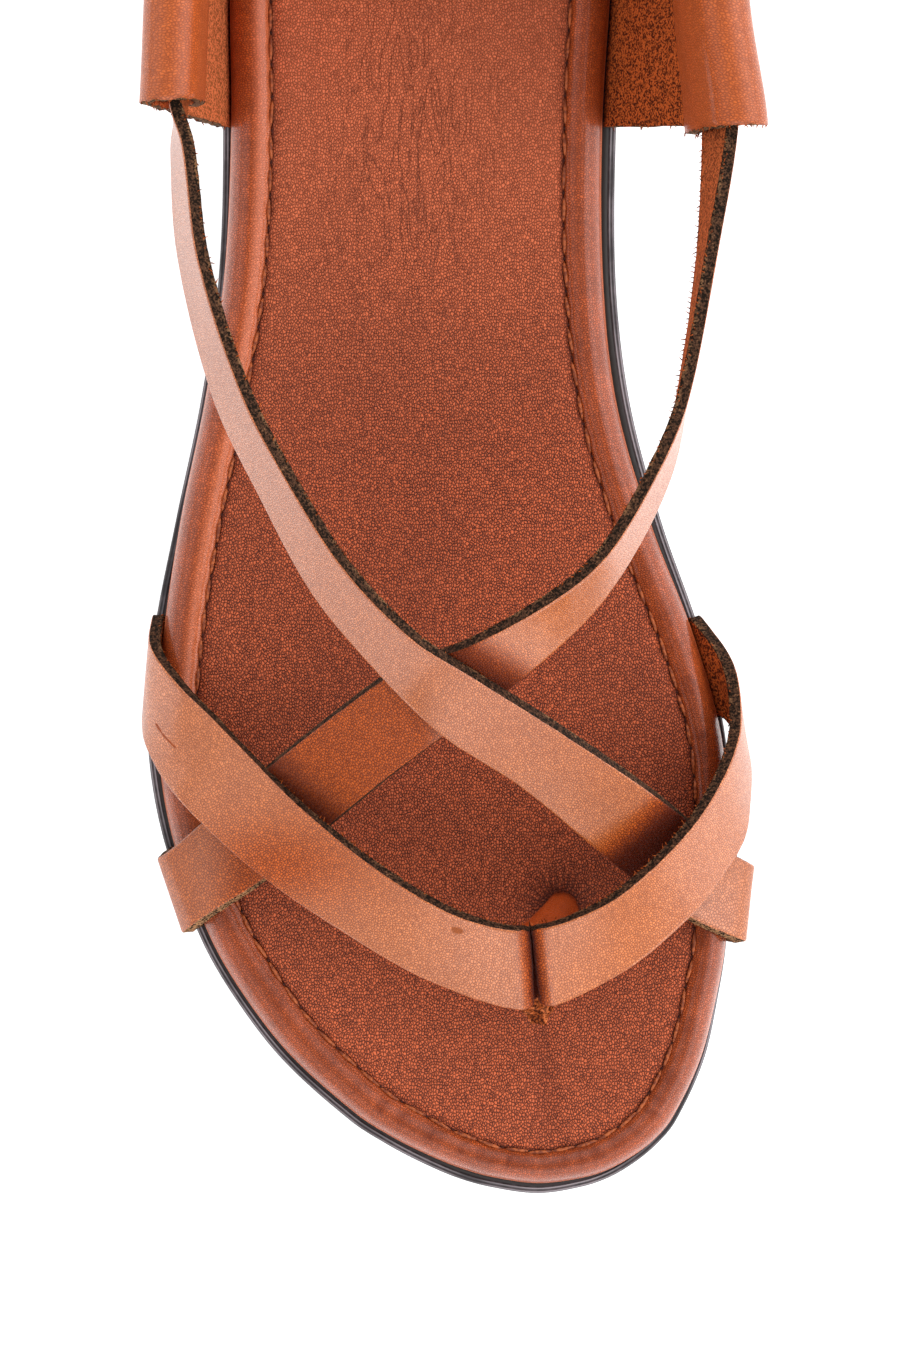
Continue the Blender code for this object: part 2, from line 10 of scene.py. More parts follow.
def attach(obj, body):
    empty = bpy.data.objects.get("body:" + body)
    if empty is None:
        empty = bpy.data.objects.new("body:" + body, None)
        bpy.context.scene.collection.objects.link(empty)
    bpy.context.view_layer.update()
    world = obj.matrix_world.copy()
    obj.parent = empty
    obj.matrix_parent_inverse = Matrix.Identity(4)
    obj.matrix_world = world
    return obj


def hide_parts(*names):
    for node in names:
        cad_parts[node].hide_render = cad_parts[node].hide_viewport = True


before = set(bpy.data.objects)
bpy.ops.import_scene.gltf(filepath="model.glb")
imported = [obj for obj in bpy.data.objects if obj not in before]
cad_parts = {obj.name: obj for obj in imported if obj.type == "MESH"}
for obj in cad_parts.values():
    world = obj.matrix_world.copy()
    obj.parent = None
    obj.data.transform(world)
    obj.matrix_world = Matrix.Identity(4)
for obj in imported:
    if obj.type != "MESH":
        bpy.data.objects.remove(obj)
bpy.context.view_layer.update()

# Leather sandal for the right foot: toe toward -Y, big toe side toward +X, floor at Z = 0.
# Sizes are written in millimetres, and the meshes are made in metres.
MM = 0.001
UP = Vector((0.0, 0.0, 1.0))
TOEWARD = Vector((0.0, -1.0, 0.0))
MEDIAL = 1
LATERAL = -1

# Soft changes over a surface: a step between two places, a hill round a middle, and smooth noise with
# features of a size, which a seed moves along each axis
Fade = namedtuple("Fade", "amount start end")
Hill = namedtuple("Hill", "amount middle width")
Cloud = namedtuple("Cloud", "amount size seed")
SEED_Y = 1.7
SEED_Z = 2.3

# Driving sizes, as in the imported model
LENGTH = 254.0
BALL_WIDTH = 93.5
FIT_GAP = 0.3
STRAP_THICK = 2.0
FOOTBED_THICK = 5.2
COUNTER_WALL = 1.8
COUNTER_FRONT = 0.329
TUNNEL_RADIUS = 3.6
TUNNEL_DEPTH = 20.5
TUNNEL_HIGH_DROP = 3.0
TUNNEL_HIGH_SIDE = 3.8
TUNNEL_LOW_DROP = 15.0
TUNNEL_LOW_SIDE = 1.2
TAB_STANDOFF = 2.5
TAB_BEND = 2.5
TAB_DEPTH = 8.0

# Outline of the sole: shares of the length from the heel and of the ball width from the long
# axis, then how far the sole stands out past the rand, and the rand's width up to its seam
SoleRow = namedtuple(
    "SoleRow", "along lateral medial lateral_margin medial_margin lateral_border medial_border")
SOLE_ROWS = [SoleRow(*row) for row in (
    (0.000, -0.040, -0.040, 2.5, 2.5, 6.4, 6.4),
    (0.031, -0.268, 0.189, 2.5, 2.5, 6.4, 6.4),
    (0.075, -0.359, 0.280, 2.5, 2.5, 6.4, 6.4),
    (0.154, -0.395, 0.313, 2.5, 2.5, 6.4, 6.3),
    (0.248, -0.396, 0.297, 2.2, 2.5, 6.4, 6.1),
    (0.330, -0.388, 0.284, 1.6, 2.5, 6.4, 5.9),
    (0.423, -0.397, 0.284, 1.2, 2.3, 6.4, 5.9),
    (0.499, -0.428, 0.308, 1.0, 2.4, 6.3, 5.8),
    (0.575, -0.472, 0.363, 1.1, 2.0, 6.3, 5.6),
    (0.650, -0.511, 0.434, 1.9, 1.4, 6.2, 5.3),
    (0.714, -0.521, 0.475, 2.0, 0.9, 6.2, 5.1),
    (0.778, -0.493, 0.481, 1.8, 0.5, 6.3, 5.1),
    (0.841, -0.428, 0.476, 1.8, 0.4, 6.3, 5.1),
    (0.879, -0.368, 0.460, 1.8, 0.6, 6.3, 5.1),
    (0.917, -0.287, 0.436, 1.8, 0.9, 6.1, 5.1),
    (0.955, -0.170, 0.387, 1.8, 1.1, 5.8, 5.2),
    (0.969, -0.110, 0.355, 1.8, 1.2, 5.6, 5.2),
    (0.980, -0.053, 0.319, 1.9, 1.4, 5.4, 5.2),
    (0.990, 0.010, 0.273, 2.0, 1.6, 5.2, 5.2),
    (0.996, 0.068, 0.225, 2.0, 1.8, 5.1, 5.2),
    (1.000, 0.150, 0.150, 2.0, 2.0, 5.1, 5.1),
)]

# Side profile of the sole: heights over the floor
ProfileRow = namedtuple("ProfileRow", "along underside sole_top")
PROFILE_ROWS = [ProfileRow(*row) for row in (
    (0.00, 0.0, 13.5),
    (0.22, 0.0, 13.2),
    (0.29, 4.6, 12.3),
    (0.37, 4.6, 10.2),
    (0.47, 2.2, 7.2),
    (0.56, 0.0, 5.1),
    (0.64, 0.0, 4.5),
    (0.78, 0.0, 4.5),
    (0.89, 1.0, 5.5),
    (1.00, 5.0, 9.5),
)]

# Heel counter, from its medial end round the heel to its lateral end: outward lean in degrees,
# how far its upper part curves back in, how far its top leans toward the toe, height of its top
CounterRow = namedtuple("CounterRow", "share lean curl rake top")
COUNTER_ROWS = [CounterRow(*row) for row in (
    (0.0, 28.2, 0.0, 3.2, 59.0),
    (0.08, 25.2, 0.3, 2.2, 59.3),
    (0.2, 20.0, 1.0, 0.6, 60.0),
    (0.5, 1.5, 6.0, 0.0, 62.0),
    (0.8, 9.5, 1.0, 0.0, 60.0),
    (0.92, 13.6, 0.3, 0.2, 59.3),
    (1.0, 14.0, 0.0, 0.5, 59.0),
)]

# Straps: the rear and the front edge of the grain side, a row for each section
StrapRow = namedtuple("StrapRow", "rear_x rear_y rear_z front_x front_y front_z")

# V strap over the toes, from its lateral end to its medial end
V_STRAP_ROWS = [StrapRow(*row) for row in (
    (-48.0, -39.3, 11.0, -49.6, -51.8, 5.8),
    (-43.4, -45.4, 16.6, -48.8, -55.4, 10.0),
    (-38.0, -50.5, 20.8, -45.9, -60.4, 14.5),
    (-32.3, -56.1, 25.0, -41.2, -65.7, 19.5),
    (-23.5, -64.8, 29.0, -31.4, -74.6, 22.2),
    (-10.9, -74.9, 31.0, -17.4, -84.4, 22.5),
    (1.6, -82.0, 30.5, -2.4, -92.8, 22.5),
    (12.5, -83.9, 29.0, 12.6, -96.8, 23.0),
    (23.5, -80.5, 30.0, 26.8, -91.4, 22.0),
    (31.3, -74.9, 28.8, 38.0, -82.5, 19.5),
    (37.7, -68.5, 26.5, 43.5, -76.0, 15.5),
    (41.8, -62.9, 23.0, 47.2, -70.1, 12.0),
    (45.2, -56.2, 18.8, 48.3, -63.7, 8.3),
    (46.4, -50.4, 15.0, 48.4, -57.9, 6.0),
    (45.4, -42.0, 10.2, 46.9, -53.7, 5.4),
)]

# Cross strap, from its lateral end over the instep to the medial mouth of the tunnel
CROSS_LATERAL_ROWS = [StrapRow(*row) for row in (
    (-46.9, -73.4, 8.5, -42.9, -85.2, 9.8),
    (-43.6, -71.0, 12.2, -39.0, -82.3, 14.3),
    (-38.5, -66.7, 16.7, -30.4, -76.8, 18.5),
    (-27.8, -58.0, 26.3, -20.1, -68.4, 25.3),
    (-17.1, -49.7, 36.5, -10.1, -60.2, 34.0),
    (-7.7, -43.4, 43.0, -0.8, -53.3, 39.6),
    (3.7, -39.4, 49.6, 9.3, -46.3, 41.2),
    (17.1, -32.0, 54.0, 21.6, -35.2, 43.0),
    (24.5, -25.3, 55.5, 28.0, -26.3, 44.0),
    (31.9, -12.9, 56.5, 34.1, -13.7, 44.5),
    (36.3, -2.2, 56.8, 36.7, -1.7, 44.6),
    (40.5, 18.9, 57.0, 39.7, 19.8, 45.0),
)]

# Cross strap, from the lateral mouth of the tunnel over the instep to its medial end
CROSS_MEDIAL_ROWS = [StrapRow(*row) for row in (
    (-40.7, 36.4, 56.1, -43.1, 36.7, 44.4),
    (-38.4, 19.3, 56.0, -42.0, 19.9, 44.3),
    (-31.9, -1.0, 56.0, -36.5, -1.7, 44.4),
    (-24.3, -15.6, 55.7, -29.2, -17.1, 44.3),
    (-16.0, -28.3, 54.7, -21.2, -31.8, 44.0),
    (-5.8, -38.7, 52.3, -10.8, -44.3, 42.7),
    (3.1, -44.3, 47.6, -1.5, -53.3, 40.8),
    (17.0, -53.0, 40.0, 10.9, -61.5, 33.5),
    (31.4, -62.5, 27.0, 23.6, -72.0, 24.0),
    (39.6, -68.6, 18.2, 32.5, -78.9, 18.0),
    (45.4, -72.7, 12.6, 40.2, -83.5, 14.8),
    (48.8, -74.6, 8.6, 47.2, -86.5, 10.0),
)]

# Where the strap ends turn in under the rand: shares of the length at both edges of the strap
StrapEnd = namedtuple("StrapEnd", "side rear front")
V_LATERAL_END = StrapEnd(LATERAL, 0.636, 0.692)
V_MEDIAL_END = StrapEnd(MEDIAL, 0.637, 0.699)
CROSS_LATERAL_END = StrapEnd(LATERAL, 0.785, 0.832)
CROSS_MEDIAL_END = StrapEnd(MEDIAL, 0.793, 0.840)

# Mesh fineness
SIDE_STEPS = 320
INSOLE_COLUMNS = 140
SOLE_COLUMNS = 24
STRAP_STEP = 0.8
DENSE_STEP = 0.1
TUNNEL_STEPS = 28
COUNTER_STEPS = 220
POST_SIDES = 48
POST_STEPS = 40

# Seam round the footbed
STITCH_PITCH = 5.0
STITCH_LENGTH = 4.5
STITCH_WIDTH = 0.62

# Pleat of the V strap: its slit on the floor plan from the rear edge to the front edge, the half
# width of the slit at both, and the radius of the folds that roll down into it
PLEAT_REAR = Vector((12.7, -84.0, 0.0))
PLEAT_FRONT = Vector((13.9, -96.6, 0.0))
PLEAT_REAR_HALF = 0.06
PLEAT_FRONT_HALF = 0.42
PLEAT_RADIUS = 2.3
PLEAT_DEPTH = 3.4

# Where painted shade, in a deeper and unglossy tan, lies on the V strap's lateral arm, on the floor plan
DEEP_SHADE_SPOT = Vector((-27.0, -74.0, 0.0))
DEEP_SHADE_SIZE = Vector((15.0, 8.5, 1.0))

# Faces of the bands: grain side, cut edge and flesh side
GRAIN = 0
CUT = 1
FLESH = 2


# Curves through the tables
def find_span(places, place):
    """Number of the span of a rising list that holds a place."""
    index = 0
    while index < len(places) - 2 and place > places[index + 1]:
        index += 1
    return index


def smooth_between(first, last, start, end, t):
    """Value at a share t of a span, from its values and its slopes over the whole span at both ends."""
    rise = last - first
    bend = t * t * (3 * rise - 2 * start - end) + t ** 3 * (start + end - 2 * rise)
    return first + t * start + bend


def steady_value(rows, column, along):
    """Read a table column at a place without overshooting between its rows."""
    places = [row[0] for row in rows]
    values = [getattr(row, column) for row in rows]
    place = min(max(along, places[0]), places[-1])
    index = find_span(places, place)
    slopes = []
    for left in range(len(places) - 1):
        slopes.append((values[left + 1] - values[left]) / (places[left + 1] - places[left]))

    def tangent(at):
        if at == 0 or at == len(places) - 1:
            return 0.0
        before, after = slopes[at - 1], slopes[at]
        if before * after <= 0.0:
            return 0.0
        return 2.0 * before * after / (before + after)

    width = places[index + 1] - places[index]
    t = (place - places[index]) / width
    start, end = tangent(index) * width, tangent(index + 1) * width
    return smooth_between(values[index], values[index + 1], start, end, t)


def curve_point(points, knots, place):
    """Point of a smooth curve through the given points at a place measured on the knots."""
    index = find_span(knots, place)

    def tangent(at):
        before, after = max(at - 1, 0), min(at + 1, len(points) - 1)
        return (points[after] - points[before]) / (knots[after] - knots[before])

    width = knots[index + 1] - knots[index]
    t = (place - knots[index]) / width
    start, end = tangent(index) * width, tangent(index + 1) * width
    return smooth_between(points[index], points[index + 1], start, end, t)


def chord_knots(points):
    """Running chord length through the points."""
    knots = [0.0]
    for before, after in zip(points, points[1:]):
        knots.append(knots[-1] + (after - before).length)
    return knots


# Soft changes over a surface
def smooth_share(value, low, high):
    """Soft step from 0 at low to 1 at high."""
    share = min(max((value - low) / (high - low), 0.0), 1.0)
    return share * share * (3.0 - 2.0 * share)


def fade_in(fade, at):
    return fade.amount * smooth_share(at, fade.start, fade.end)


def fade_out(fade, at):
    return fade.amount * (1.0 - smooth_share(at, fade.start, fade.end))


def hill_rise(hill, at):
    return hill.amount * math.exp(-((at - hill.middle) / hill.width) ** 2)


def oval_hill(spot, middle, size):
    """Hill of height 1 round a spot of the floor plan, with its own size along each axis."""
    away = spot - middle
    return math.exp(-(away.x / size.x) ** 2 - (away.y / size.y) ** 2)


def rough(point, cloud):
    """Smooth noise at a point, from minus to plus the cloud's amount, in a place set by its seed."""
    shift = Vector((cloud.seed, cloud.seed * SEED_Y, cloud.seed * SEED_Z))
    return cloud.amount * noise.noise(point / cloud.size + shift)


def rough_share(point, cloud):
    """Smooth noise at a point, from 0 to 1, for a cloud whose amount is 1."""
    return 0.5 + 0.5 * rough(point, cloud)


def on_plan(spot):
    """Place on the floor plan under a spot."""
    return Vector((spot.x, spot.y, 0.0))


def search_tree(spots):
    """Search tree of spots on the floor plan."""
    tree = kdtree.KDTree(len(spots))
    for index, spot in enumerate(spots):
        tree.insert(on_plan(spot), index)
    tree.balance()
    return tree


# Outline and side profile of the sole
def along_to_y(along):
    return LENGTH * (0.5 - along)


def y_to_along(y):
    return 0.5 - y / LENGTH


def sole_loop():
    """Points of the sole's outline up the medial side and back, each with its margin and its border."""
    medial = []
    lateral = []
    for row in SOLE_ROWS:
        y = along_to_y(row.along)
        medial.append(Vector((row.medial * BALL_WIDTH, y, row.medial_margin, row.medial_border)))
        lateral.append(Vector((row.lateral * BALL_WIDTH, y, row.lateral_margin, row.lateral_border)))
    return medial + lateral[-2:0:-1]


# The closed outline with points repeated past both ends, its arc lengths from the heel end, the reach
# over which its direction is taken, and how often a span is halved to find a place on it
LOOP = sole_loop()
LOOP_WRAP = 2
LOOP_POINTS = LOOP[-LOOP_WRAP:] + LOOP + LOOP[:LOOP_WRAP + 1]
LOOP_KNOTS = chord_knots(LOOP_POINTS)
HEEL_KNOT = LOOP_KNOTS[LOOP_WRAP]
TOE_ARC = LOOP_KNOTS[LOOP_WRAP + len(SOLE_ROWS) - 1] - HEEL_KNOT
LOOP_ARC = LOOP_KNOTS[LOOP_WRAP + len(LOOP)] - HEEL_KNOT
EDGE_REACH = 0.05
HALVINGS = 40


def sole_edge(arc):
    """Sole outline at an arc length from the heel end: point, outward direction, margin and border."""
    place = arc % LOOP_ARC + HEEL_KNOT
    here = curve_point(LOOP_POINTS, LOOP_KNOTS, place)
    before = curve_point(LOOP_POINTS, LOOP_KNOTS, place - EDGE_REACH)
    run = curve_point(LOOP_POINTS, LOOP_KNOTS, place + EDGE_REACH) - before
    outward = Vector((-run.y, run.x, 0.0)).normalized()
    return on_plan(here), outward, here.z, here.w


def arc_at(along, side):
    """Arc length at which one side of the sole's outline reaches a share of the length."""
    low, high = (0.0, TOE_ARC) if side == MEDIAL else (LOOP_ARC, TOE_ARC)
    for _ in range(HALVINGS):
        middle = (low + high) / 2
        if y_to_along(sole_edge(middle)[0].y) < along:
            low = middle
        else:
            high = middle
    return low


def loop_arcs():
    """Arc lengths round the sole: heel end, medial side, toe end, lateral side."""
    arcs = []
    for step in range(SIDE_STEPS):
        arcs.append(TOE_ARC * step / SIDE_STEPS)
    for step in range(SIDE_STEPS):
        arcs.append(TOE_ARC + (LOOP_ARC - TOE_ARC) * step / SIDE_STEPS)
    return arcs


LOOP_ARCS = loop_arcs()
LOOP_EDGES = [sole_edge(arc) for arc in LOOP_ARCS]
LOOP_COUNT = len(LOOP_EDGES)


def underside(y):
    return steady_value(PROFILE_ROWS, "underside", y_to_along(y))


def sole_top(y):
    return steady_value(PROFILE_ROWS, "sole_top", y_to_along(y))


def footbed_top(y):
    return sole_top(y) + FIT_GAP + FOOTBED_THICK


# Mesh helpers
MERGE_DISTANCE = 0.001


def placed_grid(
        columns, rows, place, closed_columns=False, closed_rows=False, part=None, masks=None, flat=None):
    """Grid of faces whose corners are set by place(column, row), with its ends on the same places where it
    is closed.

    part(column, row) gives the material of a face, each of masks a value for a corner, and flat its
    place on the leather before it was bent.
    """
    mesh = bmesh.new()
    leather = mesh.loops.layers.uv.new("leather")
    bmesh.ops.create_grid(mesh, x_segments=columns, y_segments=rows, size=0.5)
    layers = {name: mesh.verts.layers.float.new(name) for name in masks or {}}

    def grid_place(spot):
        return (spot.x + 0.5) * columns, (spot.y + 0.5) * rows

    for face in mesh.faces:
        if part:
            column, row = grid_place(face.calc_center_median())
            face.material_index = part(int(column), int(row))
        if flat:
            for corner in face.loops:
                column, row = grid_place(corner.vert.co)
                corner[leather].uv = flat(round(column), round(row)) * MM
    for vert in mesh.verts:
        column, row = grid_place(vert.co)
        column = round(column) % columns if closed_columns else round(column)
        row = round(row) % rows if closed_rows else round(row)
        vert.co = place(column, row) * MM
        for name, layer in layers.items():
            vert[layer] = masks[name](column, row)
    return mesh


def vert_spot(vert):
    """Place of a vertex on the floor plan, in millimetres."""
    return Vector((vert.co.x / MM, vert.co.y / MM, 0.0))


def open_edges(mesh):
    return [edge for edge in mesh.edges if edge.is_boundary]


def merge_doubles(mesh):
    bmesh.ops.remove_doubles(mesh, verts=mesh.verts, dist=MERGE_DISTANCE * MM)


def close_ends(mesh):
    """Join a tube's seam and cap its two ends: the caps."""
    merge_doubles(mesh)
    return bmesh.ops.holes_fill(mesh, edges=open_edges(mesh))["faces"]


def mesh_data(name, mesh):
    data = bpy.data.meshes.new(name)
    mesh.to_mesh(data)
    mesh.free()
    return data


def add_object(name, data):
    made = bpy.data.objects.new(name, data)
    bpy.context.scene.collection.objects.link(made)
    return made


def finish_piece(name, mesh, materials, node=None):
    """Turn a bmesh into a smooth piece that rides on the sandal and stands for its CAD node, if any."""
    bmesh.ops.recalc_face_normals(mesh, faces=mesh.faces)
    data = mesh_data(name, mesh)
    data.shade_smooth()
    for material in materials:
        data.materials.append(material)
    piece = add_object(name, data)
    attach(piece, "root")
    if node:
        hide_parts(node)


# Numbers of the colour sockets of a mix node
MIX_FIRST = 6
MIX_SECOND = 7
MIX_RESULT = 2


# Shader helpers
def set_inputs(tree, node, inputs):
    """Set or link the inputs of a node by name or number."""
    for name, value in inputs.items():
        if isinstance(value, bpy.types.NodeSocket):
            tree.links.new(value, node.inputs[name])
        else:
            node.inputs[name].default_value = value


def add_node(tree, kind, inputs, **settings):
    """Add a node with its own settings and its inputs."""
    new = tree.nodes.new("ShaderNode" + kind)
    for name, value in settings.items():
        setattr(new, name, value)
    set_inputs(tree, new, inputs)
    return new


def calculate(tree, operation, first, second=0.0, third=0.0, clamp=False):
    """Output of a maths node."""
    node = add_node(tree, "Math", {0: first, 1: second, 2: third}, operation=operation, use_clamp=clamp)
    return node.outputs[0]


def move_place(tree, operation, first, second):
    """Place that a vector maths node puts out."""
    return add_node(tree, "VectorMath", {0: first, 1: second}, operation=operation).outputs[0]


def measure(tree, operation, first, second):
    """Number that a vector maths node puts out."""
    return add_node(tree, "VectorMath", {0: first, 1: second}, operation=operation).outputs["Value"]


def remap(tree, value, low, high, to_low=0.0, to_high=1.0):
    """Output of a soft map range node."""
    inputs = {0: value, 1: low, 2: high, 3: to_low, 4: to_high}
    return add_node(tree, "MapRange", inputs, interpolation_type="SMOOTHSTEP").outputs[0]


def cloud_share(tree, place, scale, detail, **more):
    """Share that a noise texture puts out."""
    inputs = {"Vector": place, "Scale": scale, "Detail": detail, **more}
    return add_node(tree, "TexNoise", inputs).outputs["Fac"]


def blend_colours(tree, share, first, second):
    """Output of a colour mix node."""
    inputs = {0: share, MIX_FIRST: first, MIX_SECOND: second}
    return add_node(tree, "Mix", inputs, data_type="RGBA").outputs[MIX_RESULT]


def make_group(name, inputs, outputs):
    """Empty shader group with named sockets: its tree, the sockets given to it and its output node."""
    tree = bpy.data.node_groups.new(name, "ShaderNodeTree")
    for socket, kind in inputs:
        tree.interface.new_socket(name=socket, in_out="INPUT", socket_type="NodeSocket" + kind)
    for socket in outputs:
        tree.interface.new_socket(name=socket, in_out="OUTPUT", socket_type="NodeSocketFloat")
    return tree, tree.nodes.new("NodeGroupInput").outputs, tree.nodes.new("NodeGroupOutput")


def use_group(tree, group, inputs):
    """Place a group in a material: its outputs."""
    node = tree.nodes.new("ShaderNodeGroup")
    node.node_tree = group
    set_inputs(tree, node, inputs)
    return node.outputs


# Pebbles of the grain: how far they are pushed about, in metres, how they are drawn out, how wide the
# slope of a pebble is, where a valley's sides start and end, how dark it is, and how far the pebbles
# differ in tone and in height
PEBBLE_DRIFT = (0.0003, 0.0003, 0.0003)
PEBBLE_STRETCH = (1.0, 0.75, 1.0)
PEBBLE_SLOPE = 0.35
VALLEY_SIDES = (0.04, 0.30)
VALLEY_DARK = 0.8
PEBBLE_TONES = 0.30
PEBBLE_HEIGHTS = 0.6


def make_grain_group():
    """Pebbled leather grain: a height, and a mask of the valleys between its pebbles."""
    tree, given, result = make_group(
        "leather grain", [("Place", "Vector"), ("Pebbles", "Float")], ["Height", "Pits"])
    drift = add_node(
        tree, "TexNoise", {"Vector": given["Place"], "Scale": given["Pebbles"], "Detail": 1.0}).outputs
    push = move_place(tree, "MULTIPLY", drift["Color"], PEBBLE_DRIFT)
    moved = move_place(tree, "ADD", given["Place"], push)
    layout = {"Vector": move_place(tree, "MULTIPLY", moved, PEBBLE_STRETCH), "Scale": given["Pebbles"]}
    edges = add_node(tree, "TexVoronoi", layout, voronoi_dimensions="2D", feature="DISTANCE_TO_EDGE")
    cells = add_node(tree, "TexVoronoi", layout, voronoi_dimensions="2D")
    inside = edges.outputs["Distance"]
    tone = add_node(tree, "SeparateColor", {0: cells.outputs["Color"]}).outputs[0]
    dome = remap(tree, inside, 0.0, PEBBLE_SLOPE)
    valley = remap(tree, inside, *VALLEY_SIDES, VALLEY_DARK, 0.0)
    height = calculate(tree, "MULTIPLY_ADD", drift["Fac"], PEBBLE_HEIGHTS, dome)
    pits = calculate(tree, "MULTIPLY_ADD", tone, PEBBLE_TONES, valley, clamp=True)
    set_inputs(tree, result, {"Height": height, "Pits": pits})
    return tree


# Dye: the shares of its noise between which it goes from dark to light
DYE_TONES = (0.3, 0.7)


def make_tone_group():
    """Slow unevenness of dyed leather, from 0 to 1."""
    tree, given, result = make_group("patchy dye", [("Place", "Vector"), ("Patches", "Float")], ["Tone"])
    broad = cloud_share(tree, given["Place"], given["Patches"], detail=4.0)
    set_inputs(tree, result, {"Tone": remap(tree, broad, *DYE_TONES)})
    return tree


# Nap of the flesh side: fibres and tufts to the metre, how high the tufts stand, and the heights
# between which it goes from its dark to its light tone
NAP_FIBRES = 3000.0
NAP_TUFTS = 1300.0
TUFT_HEIGHT = 0.5
NAP_TONES = (0.67, 0.83)


def make_nap_group():
    """Short nap of the flesh side: a height and a tone."""
    tree, given, result = make_group("suede nap", [("Place", "Vector")], ["Height", "Tone"])
    fibres = cloud_share(tree, given["Place"], NAP_FIBRES, detail=2.0, Roughness=0.6)
    tufts = cloud_share(tree, given["Place"], NAP_TUFTS, detail=2.0)
    height = calculate(tree, "MULTIPLY_ADD", tufts, TUFT_HEIGHT, fibres)
    set_inputs(tree, result, {"Height": height, "Tone": remap(tree, height, *NAP_TONES)})
    return tree


# Creases and puckers: waves of their outline to the metre, where a crease's sides start and end in
# its widths, how far the waves shift a pucker in turns, and the levels of a pucker's sides
MARK_WAVES = 600.0
MARK_SIDES = (0.4, 1.6)
PUCKER_WAVES = 450.0
PUCKER_SHIFT = 1.6
PUCKER_DIP = (-0.2, 1.0)


def make_mark_group():
    """A crease or scuff along a straight line of the floor plan: a mask that is 1 on the line."""
    inputs = [("Place", "Vector"), ("Start", "Vector"), ("Run", "Vector"), ("Width", "Float")]
    tree, given, result = make_group("crease mark", inputs, ["Mask"])
    wobble = cloud_share(tree, given["Place"], MARK_WAVES, detail=2.0)
    from_start = move_place(tree, "SUBTRACT", given["Place"], given["Start"])
    away = move_place(tree, "MULTIPLY", from_start, (1.0, 1.0, 0.0))
    run = given["Run"]
    reach = measure(tree, "DOT_PRODUCT", away, run)
    share = calculate(tree, "DIVIDE", reach, measure(tree, "DOT_PRODUCT", run, run), clamp=True)
    foot = add_node(tree, "VectorMath", {0: run, "Scale": share}, operation="SCALE").outputs[0]
    width = calculate(tree, "MULTIPLY", given["Width"], wobble)
    ratio = calculate(tree, "DIVIDE", measure(tree, "DISTANCE", away, foot), width)
    set_inputs(tree, result, {"Mask": remap(tree, ratio, *MARK_SIDES, 1.0, 0.0)})
    return tree


def make_pucker_group():
    """Folds of leather that is pulled in: a mask with one dip for each turn."""
    tree, given, result = make_group("puckers", [("Place", "Vector"), ("Turns", "Float")], ["Dips"])
    wobble = cloud_share(tree, given["Place"], PUCKER_WAVES, detail=2.0)
    turns = calculate(tree, "MULTIPLY_ADD", wobble, PUCKER_SHIFT, given["Turns"])
    wave = calculate(tree, "SINE", calculate(tree, "MULTIPLY", turns, 2 * math.pi))
    set_inputs(tree, result, {"Dips": remap(tree, wave, *PUCKER_DIP)})
    return tree


def new_material(name, inputs):
    """Material with a Principled shader: the material, its tree, its shader and object coordinates."""
    material = bpy.data.materials.new(name)
    material.use_nodes = True
    tree = material.node_tree
    shader = tree.nodes["Principled BSDF"]
    set_inputs(tree, shader, inputs)
    place = tree.nodes.new("ShaderNodeTexCoord").outputs["Object"]
    return material, tree, shader, place


def add_bump(tree, height, strength, depth):
    """Normal of a surface with bumps of a depth in millimetres."""
    inputs = {"Height": height, "Strength": strength, "Distance": depth * MM}
    return add_node(tree, "Bump", inputs).outputs["Normal"]


def read_mask(tree, name):
    """Value of a mask that is stored on the piece's vertices."""
    return add_node(tree, "Attribute", {}, attribute_name=name).outputs["Fac"]


# Leather and rubber colours, as linear red, green and blue
STRAP_DARK = (0.300, 0.055, 0.005, 1.0)
STRAP_LIGHT = (0.900, 0.245, 0.046, 1.0)
COUNTER_DARK = (0.240, 0.034, 0.004, 1.0)
COUNTER_LIGHT = (0.700, 0.150, 0.024, 1.0)
POST_DARK = (0.260, 0.034, 0.004, 1.0)
POST_LIGHT = (0.620, 0.094, 0.012, 1.0)
# Deeper, unglossy tan of painted deep shade
DEEP_SHADE_TAN = (0.720, 0.125, 0.012, 1.0)
INSOLE_DARK = (0.100, 0.013, 0.003, 1.0)
INSOLE_LIGHT = (0.860, 0.172, 0.056, 1.0)
# Paler colour of painted light on the insole
INSOLE_PAINTED_LIGHT = (0.980, 0.270, 0.120, 1.0)
RAND_DARK = (0.110, 0.015, 0.002, 1.0)
RAND_LIGHT = (0.740, 0.130, 0.022, 1.0)
# Paler colour of painted light on the rand
RAND_PAINTED_LIGHT = (0.920, 0.225, 0.080, 1.0)
# Painted shade of the rand
RAND_DEEP_SHADE = (0.240, 0.032, 0.004, 1.0)
SHADE_BROWN = (0.090, 0.008, 0.001, 1.0)
CREASE_BROWN = (0.380, 0.068, 0.007, 1.0)
SMUDGE_BROWN = (0.400, 0.105, 0.030, 1.0)
SUEDE_DARK = (0.040, 0.005, 0.001, 1.0)
SUEDE_LIGHT = (0.620, 0.128, 0.024, 1.0)
# Pale colour of the nap, also used for painted light and painted highlight
SUEDE_PALE = (0.840, 0.240, 0.085, 1.0)
EDGE_DARK = (0.012, 0.007, 0.004, 1.0)
EDGE_LIGHT = (0.085, 0.038, 0.021, 1.0)
EDGE_RAW = (0.400, 0.200, 0.090, 1.0)
THREAD_DARK = (0.200, 0.034, 0.006, 1.0)
THREAD_LIGHT = (0.500, 0.115, 0.025, 1.0)
RUBBER_DARK = (0.032, 0.027, 0.031, 1.0)
RUBBER_LIGHT = (0.105, 0.086, 0.096, 1.0)
RUBBER_HIGHLIGHT = (0.420, 0.380, 0.410, 1.0)
HOLE_SHADE = (0.012, 0.005, 0.003, 1.0)
WHITE = (1.0, 1.0, 1.0, 1.0)
